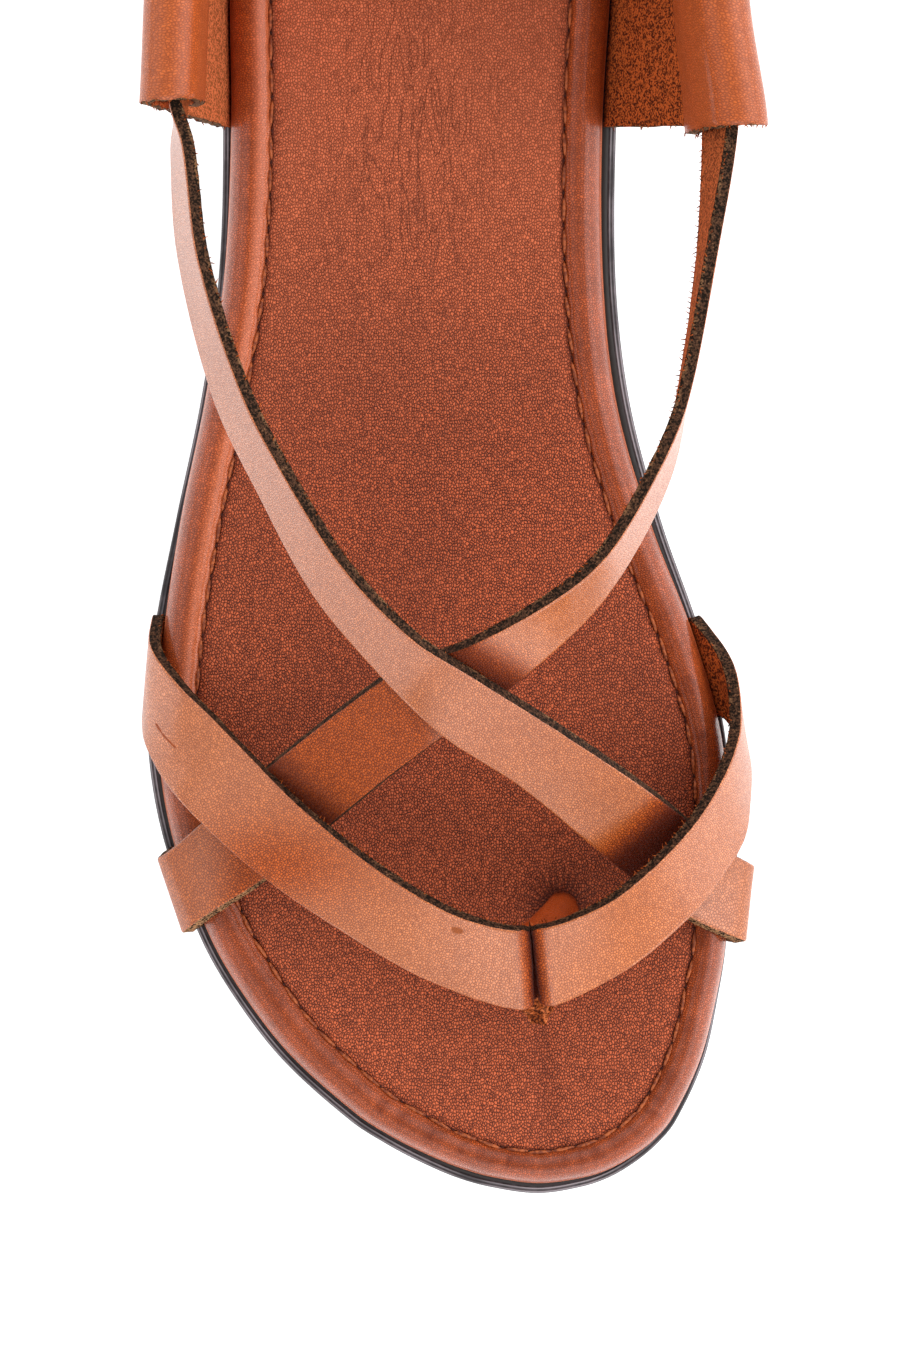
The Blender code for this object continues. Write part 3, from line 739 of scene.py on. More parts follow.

# Looks of the grain side: valley and pebble colours, the colours of painted light and of painted deep
# shade, pebbles to the metre, how much the valleys darken, the bump's depth, roughness on the pebbles and
# in the valleys, the shine of the leather, its bloom at a slant, the finish coat with its roughness and
# refraction, and how fine and how strong the dye's unevenness is
LeatherLook = namedtuple(
    "LeatherLook",
    "dark light worn creased pebbles pit_share depth smooth dull shine bloom coat coat_blur coat_index "
    "patches patch_share")
STRAP_LOOK = LeatherLook(
    STRAP_DARK, STRAP_LIGHT, STRAP_LIGHT, DEEP_SHADE_TAN,
    2600.0, 0.85, 0.10, 0.45, 0.60, 0.14, 0.08, 1.0, 0.22, 1.85, 160.0, 0.20)
COUNTER_LOOK = LeatherLook(
    COUNTER_DARK, COUNTER_LIGHT, COUNTER_LIGHT, DEEP_SHADE_TAN,
    2600.0, 0.60, 0.10, 0.45, 0.60, 0.30, 0.0, 0.70, 0.20, 1.55, 700.0, 0.30)
POST_LOOK = LeatherLook(
    POST_DARK, POST_LIGHT, POST_LIGHT, DEEP_SHADE_TAN,
    2600.0, 0.30, 0.08, 0.30, 0.50, 0.20, 0.0, 0.30, 0.25, 1.5, 200.0, 0.40)
INSOLE_LOOK = LeatherLook(
    INSOLE_DARK, INSOLE_LIGHT, INSOLE_PAINTED_LIGHT, DEEP_SHADE_TAN,
    2500.0, 1.00, 0.12, 0.50, 0.70, 0.40, 0.0, 0.0, 0.30, 1.5, 40.0, 0.20)
RAND_LOOK = LeatherLook(
    RAND_DARK, RAND_LIGHT, RAND_PAINTED_LIGHT, RAND_DEEP_SHADE,
    2800.0, 0.75, 0.10, 0.40, 0.55, 0.25, 0.0, 0.70, 0.20, 1.6, 200.0, 0.30)

# How blurred the bloom is, how far painted light fills in the dark valleys, and how far the valleys dull
# the coat
BLOOM_BLUR = 0.4
PAINTED_LIGHT_SMOOTH = 0.6
PIT_DULL = 0.5

# Wrinkles under the heel: how they are drawn out, waves to the metre, how far these bend, the level
# of the waves that a line follows, how far off it the line ends, and how strong it is
WRINKLE_STRETCH = (1.0, 0.18, 1.0)
WRINKLE_WAVES = 440.0
WRINKLE_BEND = 0.5
WRINKLE_LEVEL = 0.5
WRINKLE_REACH = 0.03
WRINKLE_FORCE = 0.85

# How deep wrinkles and puckers are, in pebble heights, and how dark the painted shade in their valleys is
LINE_DEPTH = 2.0
LINE_PAINTED_SHADE = 0.55
Groups = namedtuple("Groups", "grain dye nap mark pucker")


def make_leather(name, look, groups, marks=(), wrinkled=False):
    """Grain leather with painted light and shade: paler in painted light, deeper in colour and unglossy in
    painted deep shade, dark in painted shade, and coloured along its crease and scuff marks.
    """
    material, tree, shader, place = new_material(name, {
        "Coat Roughness": look.coat_blur, "Coat IOR": look.coat_index, "Specular IOR Level": look.shine,
        "Sheen Weight": look.bloom, "Sheen Roughness": BLOOM_BLUR})
    leather = add_node(tree, "UVMap", {}, uv_map="leather").outputs[0]
    pebbles = use_group(tree, groups.grain, {"Place": leather, "Pebbles": look.pebbles})
    patches = use_group(tree, groups.dye, {"Place": place, "Patches": look.patches})
    dye = calculate(tree, "MULTIPLY_ADD", patches["Tone"], look.patch_share, 1.0 - look.patch_share)
    colour = blend_colours(tree, dye, look.dark, look.light)
    # Painted light: a paler colour and shallower valleys where this mask is set
    pale = read_mask(tree, "pale")
    colour = blend_colours(tree, pale, colour, look.worn)
    pit_share = calculate(tree, "MULTIPLY_ADD", pale, -PAINTED_LIGHT_SMOOTH * look.pit_share, look.pit_share)
    pits = calculate(tree, "MULTIPLY", pebbles["Pits"], pit_share)
    colour = blend_colours(tree, pits, colour, look.dark)
    # Painted deep shade: a deeper colour, darker in the valleys, and no coat where this mask is set
    deep_painted_shade = read_mask(tree, "deep_painted_shade")
    colour = blend_colours(tree, deep_painted_shade, colour, blend_colours(tree, pits, look.creased, SHADE_BROWN))
    for mark in marks:
        run = (mark.end - mark.start) * MM
        inputs = {"Place": place, "Start": mark.start * MM, "Run": run, "Width": mark.width * MM}
        line = use_group(tree, groups.mark, inputs)["Mask"]
        colour = blend_colours(tree, line, colour, mark.colour)
        # The marks join the painted deep shade here only to dull the coat
        deep_painted_shade = calculate(tree, "MAXIMUM", deep_painted_shade, line)
    height = pebbles["Height"]
    if wrinkled:
        stretched = add_node(tree, "Mapping", {"Vector": place, "Scale": WRINKLE_STRETCH}).outputs[0]
        waves = cloud_share(tree, stretched, WRINKLE_WAVES, detail=2.0, Distortion=WRINKLE_BEND)
        off_level = calculate(tree, "ABSOLUTE", calculate(tree, "SUBTRACT", waves, WRINKLE_LEVEL))
        lines = remap(tree, off_level, 0.0, WRINKLE_REACH, WRINKLE_FORCE, 0.0)
        lines = calculate(tree, "MULTIPLY", lines, read_mask(tree, "wrinkle"))
        puckers = use_group(tree, groups.pucker, {"Place": place, "Turns": read_mask(tree, "turns")})
        lines = calculate(tree, "MULTIPLY_ADD", puckers["Dips"], read_mask(tree, "pull"), lines)
        height = calculate(tree, "MULTIPLY_ADD", lines, -LINE_DEPTH, height)
        # Painted shade in the valleys of the wrinkles and puckers
        colour = blend_colours(tree, calculate(tree, "MULTIPLY", lines, LINE_PAINTED_SHADE), colour, look.dark)
    shade = read_mask(tree, "shade")
    dulled = calculate(tree, "MAXIMUM", shade, deep_painted_shade)
    dulled = calculate(tree, "MAXIMUM", dulled, calculate(tree, "MULTIPLY", pits, PIT_DULL))
    set_inputs(tree, shader, {
        "Base Color": blend_colours(tree, shade, colour, SHADE_BROWN),
        "Coat Weight": calculate(tree, "MULTIPLY_ADD", dulled, -look.coat, look.coat),
        "Roughness": remap(tree, pebbles["Pits"], 0.0, 1.0, look.smooth, look.dull),
        "Normal": add_bump(tree, height, 1.0, look.depth)})
    return material


# Bumps of the nap, how far its sunken parts take on the pale colour, and the heights between which
# its fibres come through edge paint, with their strength
NAP_FORCE = 0.8
NAP_DEPTH = 0.3
SUNK_PALE = 0.3
FLECK_HEIGHTS = (0.88, 1.02)
FLECK_FORCE = 0.55


def make_suede(groups):
    """Flesh side of the leather, with a short nap."""
    material, tree, shader, place = new_material("flesh_side", {
        "Roughness": 0.95, "Sheen Weight": 0.35, "Sheen Roughness": 0.5, "Sheen Tint": SUEDE_LIGHT,
        "Specular IOR Level": 0.2})
    nap = use_group(tree, groups.nap, {"Place": place})
    colour = blend_colours(tree, nap["Tone"], SUEDE_DARK, SUEDE_LIGHT)
    raised = remap(tree, nap["Tone"], 0.0, 1.0, SUNK_PALE, 1.0)
    # Pale nap: painted light on the counter, painted highlight on the post tail, paler toward the heel on
    # the cross strap
    pale_nap = calculate(tree, "MULTIPLY", read_mask(tree, "pale_nap"), raised)
    colour = blend_colours(tree, pale_nap, colour, SUEDE_PALE)
    set_inputs(tree, shader, {
        "Base Color": blend_colours(tree, read_mask(tree, "shade"), colour, SUEDE_DARK),
        "Normal": add_bump(tree, nap["Height"], NAP_FORCE, NAP_DEPTH)})
    return material


def make_cut_edge(groups):
    """Cut edge with dark edge paint, through which raw fibres show."""
    material, tree, shader, place = new_material(
        "cut_edge", {"Roughness": 0.85, "Specular IOR Level": 0.12})
    nap = use_group(tree, groups.nap, {"Place": place})
    paint = blend_colours(tree, nap["Tone"], EDGE_DARK, EDGE_LIGHT)
    flecks = calculate(tree, "MULTIPLY", remap(tree, nap["Height"], *FLECK_HEIGHTS), FLECK_FORCE)
    # Raw leather shows through the paint where the edge is worn
    worn = calculate(tree, "MULTIPLY", read_mask(tree, "raw"), nap["Tone"])
    set_inputs(tree, shader, {
        "Base Color": blend_colours(tree, calculate(tree, "MAXIMUM", flecks, worn), paint, EDGE_RAW),
        "Normal": add_bump(tree, nap["Height"], NAP_FORCE, NAP_DEPTH)})
    return material


# Thread, needle holes and rubber: specks to the metre, the shares between which their tone and the
# painted highlight on the rubber's ridges change, the roughness of clean and of dusty rubber, and the
# bumps
THREAD_TWISTS = 1600.0
THREAD_TONES = (0.35, 0.65)
THREAD_FORCE = 0.4
HOLE_SPECKS = 2400.0
RUBBER_SPECKS = 900.0
RUBBER_PATCHES = 60.0
RUBBER_TONES = (0.15, 0.40)
HIGHLIGHT_PATCHES = (0.30, 0.60)
DUSTY_TONES = (0.1, 0.4)
RUBBER_BLUR = (0.40, 0.62)
RUBBER_FORCE = 0.25
SPECK_DEPTH = 0.1


def make_thread():
    """Waxed sewing thread with its twist."""
    material, tree, shader, place = new_material("sewing_thread", {"Roughness": 0.55})
    twist = cloud_share(tree, place, THREAD_TWISTS, detail=1.0)
    tone = remap(tree, twist, *THREAD_TONES)
    set_inputs(tree, shader, {
        "Base Color": blend_colours(tree, tone, THREAD_DARK, THREAD_LIGHT),
        "Normal": add_bump(tree, twist, THREAD_FORCE, SPECK_DEPTH)})
    return material


def make_hole_shade():
    """Painted shade: dark inside of the needle holes, on small blobs sunk under the seam."""
    material, tree, shader, place = new_material("needle_hole", {"Roughness": 0.9})
    hole_speckle = cloud_share(tree, place, HOLE_SPECKS, detail=1.0)
    set_inputs(tree, shader, {"Base Color": blend_colours(tree, hole_speckle, HOLE_SHADE, SHADE_BROWN)})
    return material


def make_rubber():
    """Dark moulded rubber with a fine dusty surface, a painted highlight on its ridges and painted shade
    under the rand.
    """
    material, tree, shader, place = new_material("sole_rubber", {})
    dust = cloud_share(tree, place, RUBBER_SPECKS, detail=3.0)
    broad = cloud_share(tree, place, RUBBER_PATCHES, detail=3.0)
    tone = calculate(tree, "MULTIPLY", dust, broad)
    colour = blend_colours(tree, remap(tree, tone, *RUBBER_TONES), RUBBER_DARK, RUBBER_LIGHT)
    # Painted highlight on the rim's ridges, in patches
    ridge_highlight = calculate(tree, "MULTIPLY", read_mask(tree, "worn"), remap(tree, broad, *HIGHLIGHT_PATCHES))
    colour = blend_colours(tree, ridge_highlight, colour, RUBBER_HIGHLIGHT)
    set_inputs(tree, shader, {
        "Base Color": blend_colours(tree, read_mask(tree, "shade"), colour, HOLE_SHADE),
        "Roughness": remap(tree, tone, *DUSTY_TONES, *RUBBER_BLUR),
        "Normal": add_bump(tree, dust, RUBBER_FORCE, SPECK_DEPTH)})
    return material


# Footbed: insole, rand and seam
def border_spot(edge, border_share):
    """Place on the floor plan a share of the rand's width in from its outer edge."""
    point, outward, margin, border = edge
    return point - outward * (margin + border_share * border)


def stitch_wave(arc):
    """Waves along the seam with the pitch of its stitches, from 0 to 1."""
    return 0.5 + 0.5 * math.cos(2 * math.pi * arc / STITCH_PITCH)


SEAM_SPOTS = [border_spot(edge, 1.0) for edge in LOOP_EDGES]
SEAM_TREE = search_tree(SEAM_SPOTS)

# Soft troughs in the insole, on the floor plan
Trough = namedtuple("Trough", "start end width depth")
INSOLE_TROUGHS = (
    Trough(Vector((14.6, -101.0, 0.0)), Vector((15.6, -116.0, 0.0)), 1.8, 0.50),
    Trough(Vector((-3.2, 31.0, 0.0)), Vector((6.4, 28.6, 0.0)), 0.9, 0.10),
    Trough(Vector((-30.0, -20.0, 0.0)), Vector((-22.0, -34.0, 0.0)), 3.5, 0.12),
    Trough(Vector((28.0, -52.0, 0.0)), Vector((36.0, -49.0, 0.0)), 0.9, 0.10),
    Trough(Vector((29.0, -57.0, 0.0)), Vector((37.0, -60.5, 0.0)), 0.9, 0.10),
)
POST_SPOT = Vector((17.6, -81.5, 0.0))
INSOLE_SKIRT = 1.6

# Soft shape of the insole: along the seam, at its stitches, round the post and all over
SEAM_GROOVE = Hill(-0.55, 0.0, 0.9)
SEAM_RIDGE = Hill(0.18, 3.0, 2.0)
STITCH_DENTS = Cloud(1.0, 16.0, 3.0)
STITCH_DENT_DEPTH = 0.16
STITCH_DENT_REACH = 2.4
POST_DIP = Hill(-1.2, 0.0, 3.2)
INSOLE_WAVES = Cloud(0.10, 22.0, 1.0)

# Puckers of the insole: how many stand round the post, and how they fade out there and off the seam
POST_PUCKERS = 30
POST_PULL = Fade(1.0, 4.5, 8.5)
SEAM_PUCKER_PITCH = 1.7
SEAM_PULL = Fade(0.7, -0.3, 0.4)
SEAM_PULL_REACH = 1.8
SEAM_PULL_PATCHES = Cloud(1.0, 11.0, 13.0)

# Where the insole has wrinkles, and where light is painted on it, paler toward the heel, which gets more
# light
WRINKLE_SPOT = Vector((-6.0, 40.0, 0.0))
WRINKLE_SIZE = Vector((14.0, 32.0, 1.0))
HEEL_PAINTED_LIGHT = Fade(0.50, -20.0, 60.0)

# Shades of the insole: in the post's hole, in the seam, in the first trough and on the medial side,
# where the straps keep the light off it
POST_HOLE_DARK = 0.85
POST_HOLE_REACH = 3.7
SEAM_SHADE = Hill(0.9, 0.0, 0.40)
TROUGH_DARK = 0.22
MEDIAL_DUSK = Fade(0.16, 12.0, 34.0)
DUSK_START = Fade(1.0, 10.0, 40.0)
DUSK_END = Fade(1.0, 70.0, 88.0)


def trough_share(spot, trough):
    """How deep in a trough a spot of the floor plan lies, from 0 to 1."""
    run = trough.end - trough.start
    away = spot - trough.start
    share = min(max(away.dot(run) / run.dot(run), 0.0), 1.0)
    return math.exp(-((away - run * share).length / trough.width) ** 2)


def insole_relief(spot):
    """Height of the insole's soft shape over its flat top."""
    _, index, distance = SEAM_TREE.find(spot)
    rise = hill_rise(SEAM_GROOVE, distance) + hill_rise(SEAM_RIDGE, distance)
    dent = rough_share(spot, STITCH_DENTS) * math.exp(-distance / STITCH_DENT_REACH)
    rise -= STITCH_DENT_DEPTH * dent * stitch_wave(LOOP_ARCS[index])
    for trough in INSOLE_TROUGHS:
        rise -= trough.depth * trough_share(spot, trough)
    rise += hill_rise(POST_DIP, (spot - POST_SPOT).length)
    return rise + rough(spot, INSOLE_WAVES)


def make_insole(material):
    """Top of the insole, from the heel's row to the toe's, with a skirt that goes down in the seam."""
    def flat(column, row):
        return SEAM_SPOTS[row].lerp(SEAM_SPOTS[-row], column / INSOLE_COLUMNS).to_2d()

    def place(column, row):
        spot = flat(column, row).to_3d()
        spot.z = footbed_top(spot.y) + insole_relief(spot)
        return spot

    mesh = placed_grid(INSOLE_COLUMNS, SIDE_STEPS, place, flat=flat)
    merge_doubles(mesh)
    skirt = bmesh.ops.extrude_edge_only(mesh, edges=open_edges(mesh))
    lowered = [item for item in skirt["geom"] if isinstance(item, bmesh.types.BMVert)]
    bmesh.ops.translate(mesh, verts=lowered, vec=-UP * INSOLE_SKIRT * MM)
    new_mask = mesh.verts.layers.float.new
    shade, wrinkle, pale, turns, pull = map(new_mask, ("shade", "wrinkle", "pale", "turns", "pull"))
    for vert in mesh.verts:
        spot = vert_spot(vert)
        _, index, distance = SEAM_TREE.find(spot)
        from_post = spot - POST_SPOT
        reach = from_post.length
        if reach < POST_PULL.end:
            vert[turns] = POST_PUCKERS * math.atan2(from_post.x, from_post.y) / (2 * math.pi)
            vert[pull] = fade_out(POST_PULL, reach)
        else:
            force = fade_in(SEAM_PULL, rough(spot, SEAM_PULL_PATCHES))
            vert[turns] = LOOP_ARCS[index] / SEAM_PUCKER_PITCH
            vert[pull] = force * math.exp(-distance / SEAM_PULL_REACH)
        hole = POST_HOLE_DARK * math.exp(-(reach / POST_HOLE_REACH) ** 4)
        dusk = fade_in(MEDIAL_DUSK, spot.x) * fade_in(DUSK_START, -spot.y) * fade_out(DUSK_END, -spot.y)
        dip = TROUGH_DARK * trough_share(spot, INSOLE_TROUGHS[0])
        vert[shade] = max(hill_rise(SEAM_SHADE, distance), hole, dusk, dip)
        vert[wrinkle] = oval_hill(spot, WRINKLE_SPOT, WRINKLE_SIZE)
        # Painted light: paler toward the heel
        vert[pale] = fade_in(HEEL_PAINTED_LIGHT, spot.y)
    finish_piece("insole", mesh, [material], "insole")


# Section of the rand from under the insole's edge over the roll to its foot: shares of the
# border from the outer edge to the seam, and heights over the footbed's top
RandPoint = namedtuple("RandPoint", "border_share rise")
RAND_SECTION = [RandPoint(*row) for row in (
    (1.030, -1.60),
    (1.010, -0.95),
    (0.985, -0.55),
    (0.940, -0.16),
    (0.860, 0.20),
    (0.740, 0.52),
    (0.600, 0.70),
    (0.460, 0.62),
    (0.330, 0.28),
    (0.220, -0.28),
    (0.120, -1.05),
    (0.045, -2.00),
    (0.000, -2.90),
    (-0.040, -3.90),
    (-0.015, -4.70),
    (0.130, -5.20),
    (0.600, -5.20),
)]
RAND_STEPS = 44
RAND_BORDER = 6.0
BALL_ALONG = 0.72

# Unevenness of the rand over its crest: pleats, most of them at the toe, a slow sag, and the pull of
# the stitches near the seam
RAND_CREST = Fade(1.0, -2.5, -0.3)
PLEAT_LEAST = 0.06
TOE_PLEATS = Hill(0.26, TOE_ARC, 75.0)
PLEAT_WAVES = Cloud(1.0, 2.6, 5.0)
PLEAT_PATCHES = Cloud(1.0, 14.0, 6.0)
SAG_WAVES = Cloud(0.10, 17.0, 7.0)
SAG_ACROSS = 4.0
NEAR_SEAM = Fade(0.10, 0.62, 0.98)

# Where light is painted on the rand: a highlight on a lip low on its wall, and its inner part on the
# lateral side, which faces the light
LIP_START = Fade(0.7, 2.4, 3.2)
LIP_END = Fade(1.0, 3.7, 4.4)
INNER_PAINTED_LIGHT = Fade(0.9, 0.45, 0.75)
LATERAL_PAINTED_LIGHT = Fade(1.0, TOE_ARC + 60.0, TOE_ARC + 110.0)

# Painted shade on the rand's inner half, in dark streaks across it that stand for folds, at the toe and at
# the ball of the foot
FOLD_START = Fade(1.0, 0.25, 0.50)
FOLD_END = Fade(1.0, 0.75, 0.95)
FOLD_SHADE_LEAST = 0.05
TOE_FOLD_SHADE = Hill(0.60, TOE_ARC, 80.0)
BALL_FOLD_SHADE = Hill(0.40, arc_at(BALL_ALONG, MEDIAL), 26.0)
FOLD_MEAN = 0.6
FOLD_LINES = Cloud(1.0, 1.9, 17.0)
FOLD_PATCHES = Cloud(0.6, 7.0, 18.0)
FOLD_ACROSS = 3.0

# Shades of the rand: in the seam, from the height where it goes down into it, and at its foot
RAND_SEAM_SHADE = Hill(0.9, 0.0, 0.35)
RAND_SEAM_SIDE = Fade(1.0, -0.2, 0.4)
RAND_FOOT_SHADE = Fade(1.0, 4.3, 5.1)


def make_rand(material):
    """Rolled border round the footbed, from under the insole's edge to its foot on the sole."""
    points = [Vector((row.border_share, row.rise, 0.0)) for row in RAND_SECTION]
    knots = chord_knots([Vector((point.x * RAND_BORDER, point.y, 0.0)) for point in points])
    widths = [knots[-1] * step / RAND_STEPS for step in range(RAND_STEPS + 1)]
    section = [curve_point(points, knots, width) for width in widths]

    def flat(column, row):
        return Vector((LOOP_ARCS[column] if column < LOOP_COUNT else LOOP_ARC, widths[row]))

    def place(column, row):
        arc = LOOP_ARCS[column]
        share, rise, _ = section[row]
        spot = border_spot(LOOP_EDGES[column], share)
        along = Vector((arc, 0.0, 0.0))
        pleat = rough(along, PLEAT_WAVES) * rough_share(along, PLEAT_PATCHES)
        pleat *= PLEAT_LEAST + hill_rise(TOE_PLEATS, arc)
        sag = rough(Vector((arc, share * SAG_ACROSS, 0.0)), SAG_WAVES)
        pull = fade_in(NEAR_SEAM, share) * stitch_wave(arc)
        spot.z = footbed_top(spot.y) + rise + fade_in(RAND_CREST, rise) * (pleat + sag - pull)
        return spot

    # Painted light: a highlight on the lip, and the lit inner part on the lateral side
    def pale(column, row):
        share, rise, _ = section[row]
        lip = fade_in(LIP_START, -rise) * fade_out(LIP_END, -rise)
        return max(lip, fade_in(INNER_PAINTED_LIGHT, share) * fade_in(LATERAL_PAINTED_LIGHT, LOOP_ARCS[column]))

    # Painted shade on the inner half, in streaks across the rand
    def deep_painted_shade(column, row):
        arc = LOOP_ARCS[column]
        share = section[row].x
        inner = fade_in(FOLD_START, share) * fade_out(FOLD_END, share)
        force = FOLD_SHADE_LEAST + hill_rise(BALL_FOLD_SHADE, arc) + hill_rise(TOE_FOLD_SHADE, arc)
        lines = rough(Vector((arc, share, 0.0)), FOLD_LINES)
        patches = rough(Vector((arc, share * FOLD_ACROSS, 0.0)), FOLD_PATCHES)
        return inner * force * (FOLD_MEAN + lines + patches)

    mesh = placed_grid(
        LOOP_COUNT, RAND_STEPS, place, closed_columns=True, masks={"pale": pale, "deep_painted_shade": deep_painted_shade}, flat=flat)
    merge_doubles(mesh)
    shade = mesh.verts.layers.float.new("shade")
    for vert in mesh.verts:
        spot = vert_spot(vert)
        low = footbed_top(spot.y) - vert.co.z / MM
        seam = hill_rise(RAND_SEAM_SHADE, SEAM_TREE.find(spot)[2]) * fade_in(RAND_SEAM_SIDE, low)
        vert[shade] = max(seam, fade_in(RAND_FOOT_SHADE, low))
    finish_piece("rand", mesh, [material], "rand")


# Stitches: their place in shares of the rand's width, how deep they lie and how far that varies, how
# far they turn in degrees, their half length in shares of the whole, and how far their ends go down
STITCH_SHARE = 0.985
STITCH_SINK = 0.16
STITCH_UNEVEN = 0.06
STITCH_TURN = 5.0
STITCH_HALF = (0.46, 0.52)
STITCH_SAG = 0.42
STITCH_SIDES = 8
STITCH_RINGS = 6
STITCH_SEED = 4
RUN_STEP = 1.0

# Needle holes, dark blobs of painted shade: their place in shares of the rand's width, their depth and
# their size
NEEDLE_SHARE = 0.99
NEEDLE_SINK = 0.52
NEEDLE_SIZE = (0.30, 0.30, 0.22, 1.0)


def make_stitches(thread, hole):
    """Lock stitches along the seam, sunk into its groove, with a needle hole between each two."""
    mesh = bmesh.new()
    count = round(LOOP_ARC / STITCH_PITCH)
    chance = random.Random(STITCH_SEED)
    for number in range(count):
        arc = number * LOOP_ARC / count
        edge = sole_edge(arc)
        spot = border_spot(edge, STITCH_SHARE)
        ahead = border_spot(sole_edge(arc + RUN_STEP), STITCH_SHARE)
        slope = (footbed_top(ahead.y) - footbed_top(spot.y)) / (ahead - spot).length
        run = (ahead - spot).normalized() + UP * slope
        spot.z = footbed_top(spot.y) - STITCH_SINK + chance.uniform(-STITCH_UNEVEN, STITCH_UNEVEN)
        turn = Matrix((run, edge[1], UP)).transposed().to_4x4()
        skew = Matrix.Rotation(math.radians(chance.uniform(-STITCH_TURN, STITCH_TURN)), 4, "Z")
        half = STITCH_LENGTH * chance.uniform(*STITCH_HALF)
        grow = Matrix.Diagonal((half, STITCH_WIDTH / 2, STITCH_WIDTH / 2, 1.0))
        made = bmesh.ops.create_uvsphere(
            mesh, u_segments=STITCH_SIDES, v_segments=STITCH_RINGS, radius=1.0, matrix=grow)["verts"]
        for vert in made:
            vert.co.z -= STITCH_SAG * (vert.co.x / half) ** 2
        matrix = Matrix.Scale(MM, 4) @ Matrix.Translation(spot) @ turn @ skew
        bmesh.ops.transform(mesh, matrix=matrix, verts=made)
        # Needle hole: a dark blob of painted shade
        place = border_spot(sole_edge(arc + LOOP_ARC / count / 2), NEEDLE_SHARE)
        place.z = footbed_top(place.y) - NEEDLE_SINK
        dent = Matrix.Scale(MM, 4) @ Matrix.Translation(place) @ Matrix.Diagonal(NEEDLE_SIZE)
        made = bmesh.ops.create_icosphere(mesh, subdivisions=1, radius=1.0, matrix=dent)["verts"]
        for face in {face for vert in made for face in vert.link_faces}:
            face.material_index = 1
    finish_piece("seam_stitches", mesh, [thread, hole])


# Outsole: insets from the outline, shares of the wall from its foot to its top, and offsets
SolePoint = namedtuple("SolePoint", "inset level lift")
SOLE_SECTION = [SolePoint(*row) for row in (
    (6.00, 1.0, -0.05),
    (1.90, 1.0, -0.02),
    (1.30, 1.0, 0.00),
    (1.12, 1.0, -0.22),
    (0.96, 1.0, 0.00),
    (0.80, 1.0, 0.02),
    (0.62, 1.0, -0.10),
    (0.42, 1.0, -0.10),
    (0.26, 1.0, -0.04),
    (0.10, 1.0, -0.20),
    (0.00, 1.0, -0.55),
    (0.00, 0.62, 0.10),
    (0.22, 0.58, 0.00),
    (0.00, 0.54, -0.10),
    (0.02, 0.34, 0.10),
    (0.22, 0.30, 0.00),
    (0.02, 0.26, -0.10),
    (0.05, 0.0, 0.70),
    (0.25, 0.0, 0.25),
    (0.70, 0.0, 0.00),
    (4.20, 0.0, 0.00),
    (4.45, 0.0, 0.45),
    (5.15, 0.0, 0.45),
    (5.40, 0.0, 0.00),
    (6.50, 0.0, 0.00),
)]

# Points of the section on whose ridges a highlight is painted, and where the top is shaded by the rand
SOLE_RIDGES = (5, 8)
RIM_SHADE = Fade(1.0, 0.95, 1.35)


def make_outsole(material):
    """Rim and wall of the sole, closed by a sheet on top and one underneath."""
    def ring_spot(index, section_point):
        point, outward, _, _ = LOOP_EDGES[index]
        spot = point - outward * section_point.inset
        low, high = underside(spot.y), sole_top(spot.y)
        spot.z = low + (high - low) * section_point.level + section_point.lift
        return spot

    def shade(column, row):
        point = SOLE_SECTION[row]
        return fade_in(RIM_SHADE, point.inset) if point.level == 1.0 else 0.0

    # Painted highlight on the ridges of the rim
    def worn(column, row):
        return 1.0 if row in SOLE_RIDGES else 0.0

    mesh = placed_grid(
        LOOP_COUNT, len(SOLE_SECTION) - 1, lambda column, row: ring_spot(column, SOLE_SECTION[row]),
        closed_columns=True, masks={"shade": shade, "worn": worn})

    def add_sheet(section_point, height):
        def place(column, row):
            start = ring_spot(row % LOOP_COUNT, section_point)
            end = ring_spot(-row % LOOP_COUNT, section_point)
            spot = start.lerp(end, column / SOLE_COLUMNS)
            if 0 < column < SOLE_COLUMNS:
                spot.z = height(spot.y) + section_point.lift
            return spot

        data = mesh_data("outsole_face", placed_grid(SOLE_COLUMNS, SIDE_STEPS, place))
        mesh.from_mesh(data)
        bpy.data.meshes.remove(data)

    add_sheet(SOLE_SECTION[0], sole_top)
    add_sheet(SOLE_SECTION[-1], underside)
    merge_doubles(mesh)
    finish_piece("outsole", mesh, [material], "outsole")


# Section of a strap: the radius of its corners, how far its rear and its front cut edge slant, how
# deep the grain laps over the edge, columns on its faces, and points round its corners and edges
BandPoint = namedtuple("BandPoint", "share offset depth part")
EDGE_CORNER = 0.30
EDGE_SLANT = 0.45
FRONT_SLANT = 0.50
BEVEL_DEPTH = 0.2
GRAIN_COLUMNS = 30
FLESH_COLUMNS = 14
GRAIN_CORNER = (30.0, 60.0, 90.0)
EDGE_SHARES = (0.32, 0.50, 0.68)
FLESH_CORNER = (90.0, 50.0)
TAB_ANGLES = (0.0, 30.0, 60.0, 90.0)


def corner_point(angle):
    """Offset and depth at an angle in degrees round a corner of the section."""
    turn = math.radians(angle)
    return EDGE_CORNER * (math.sin(turn) - 1.0), EDGE_CORNER * (1.0 - math.cos(turn))


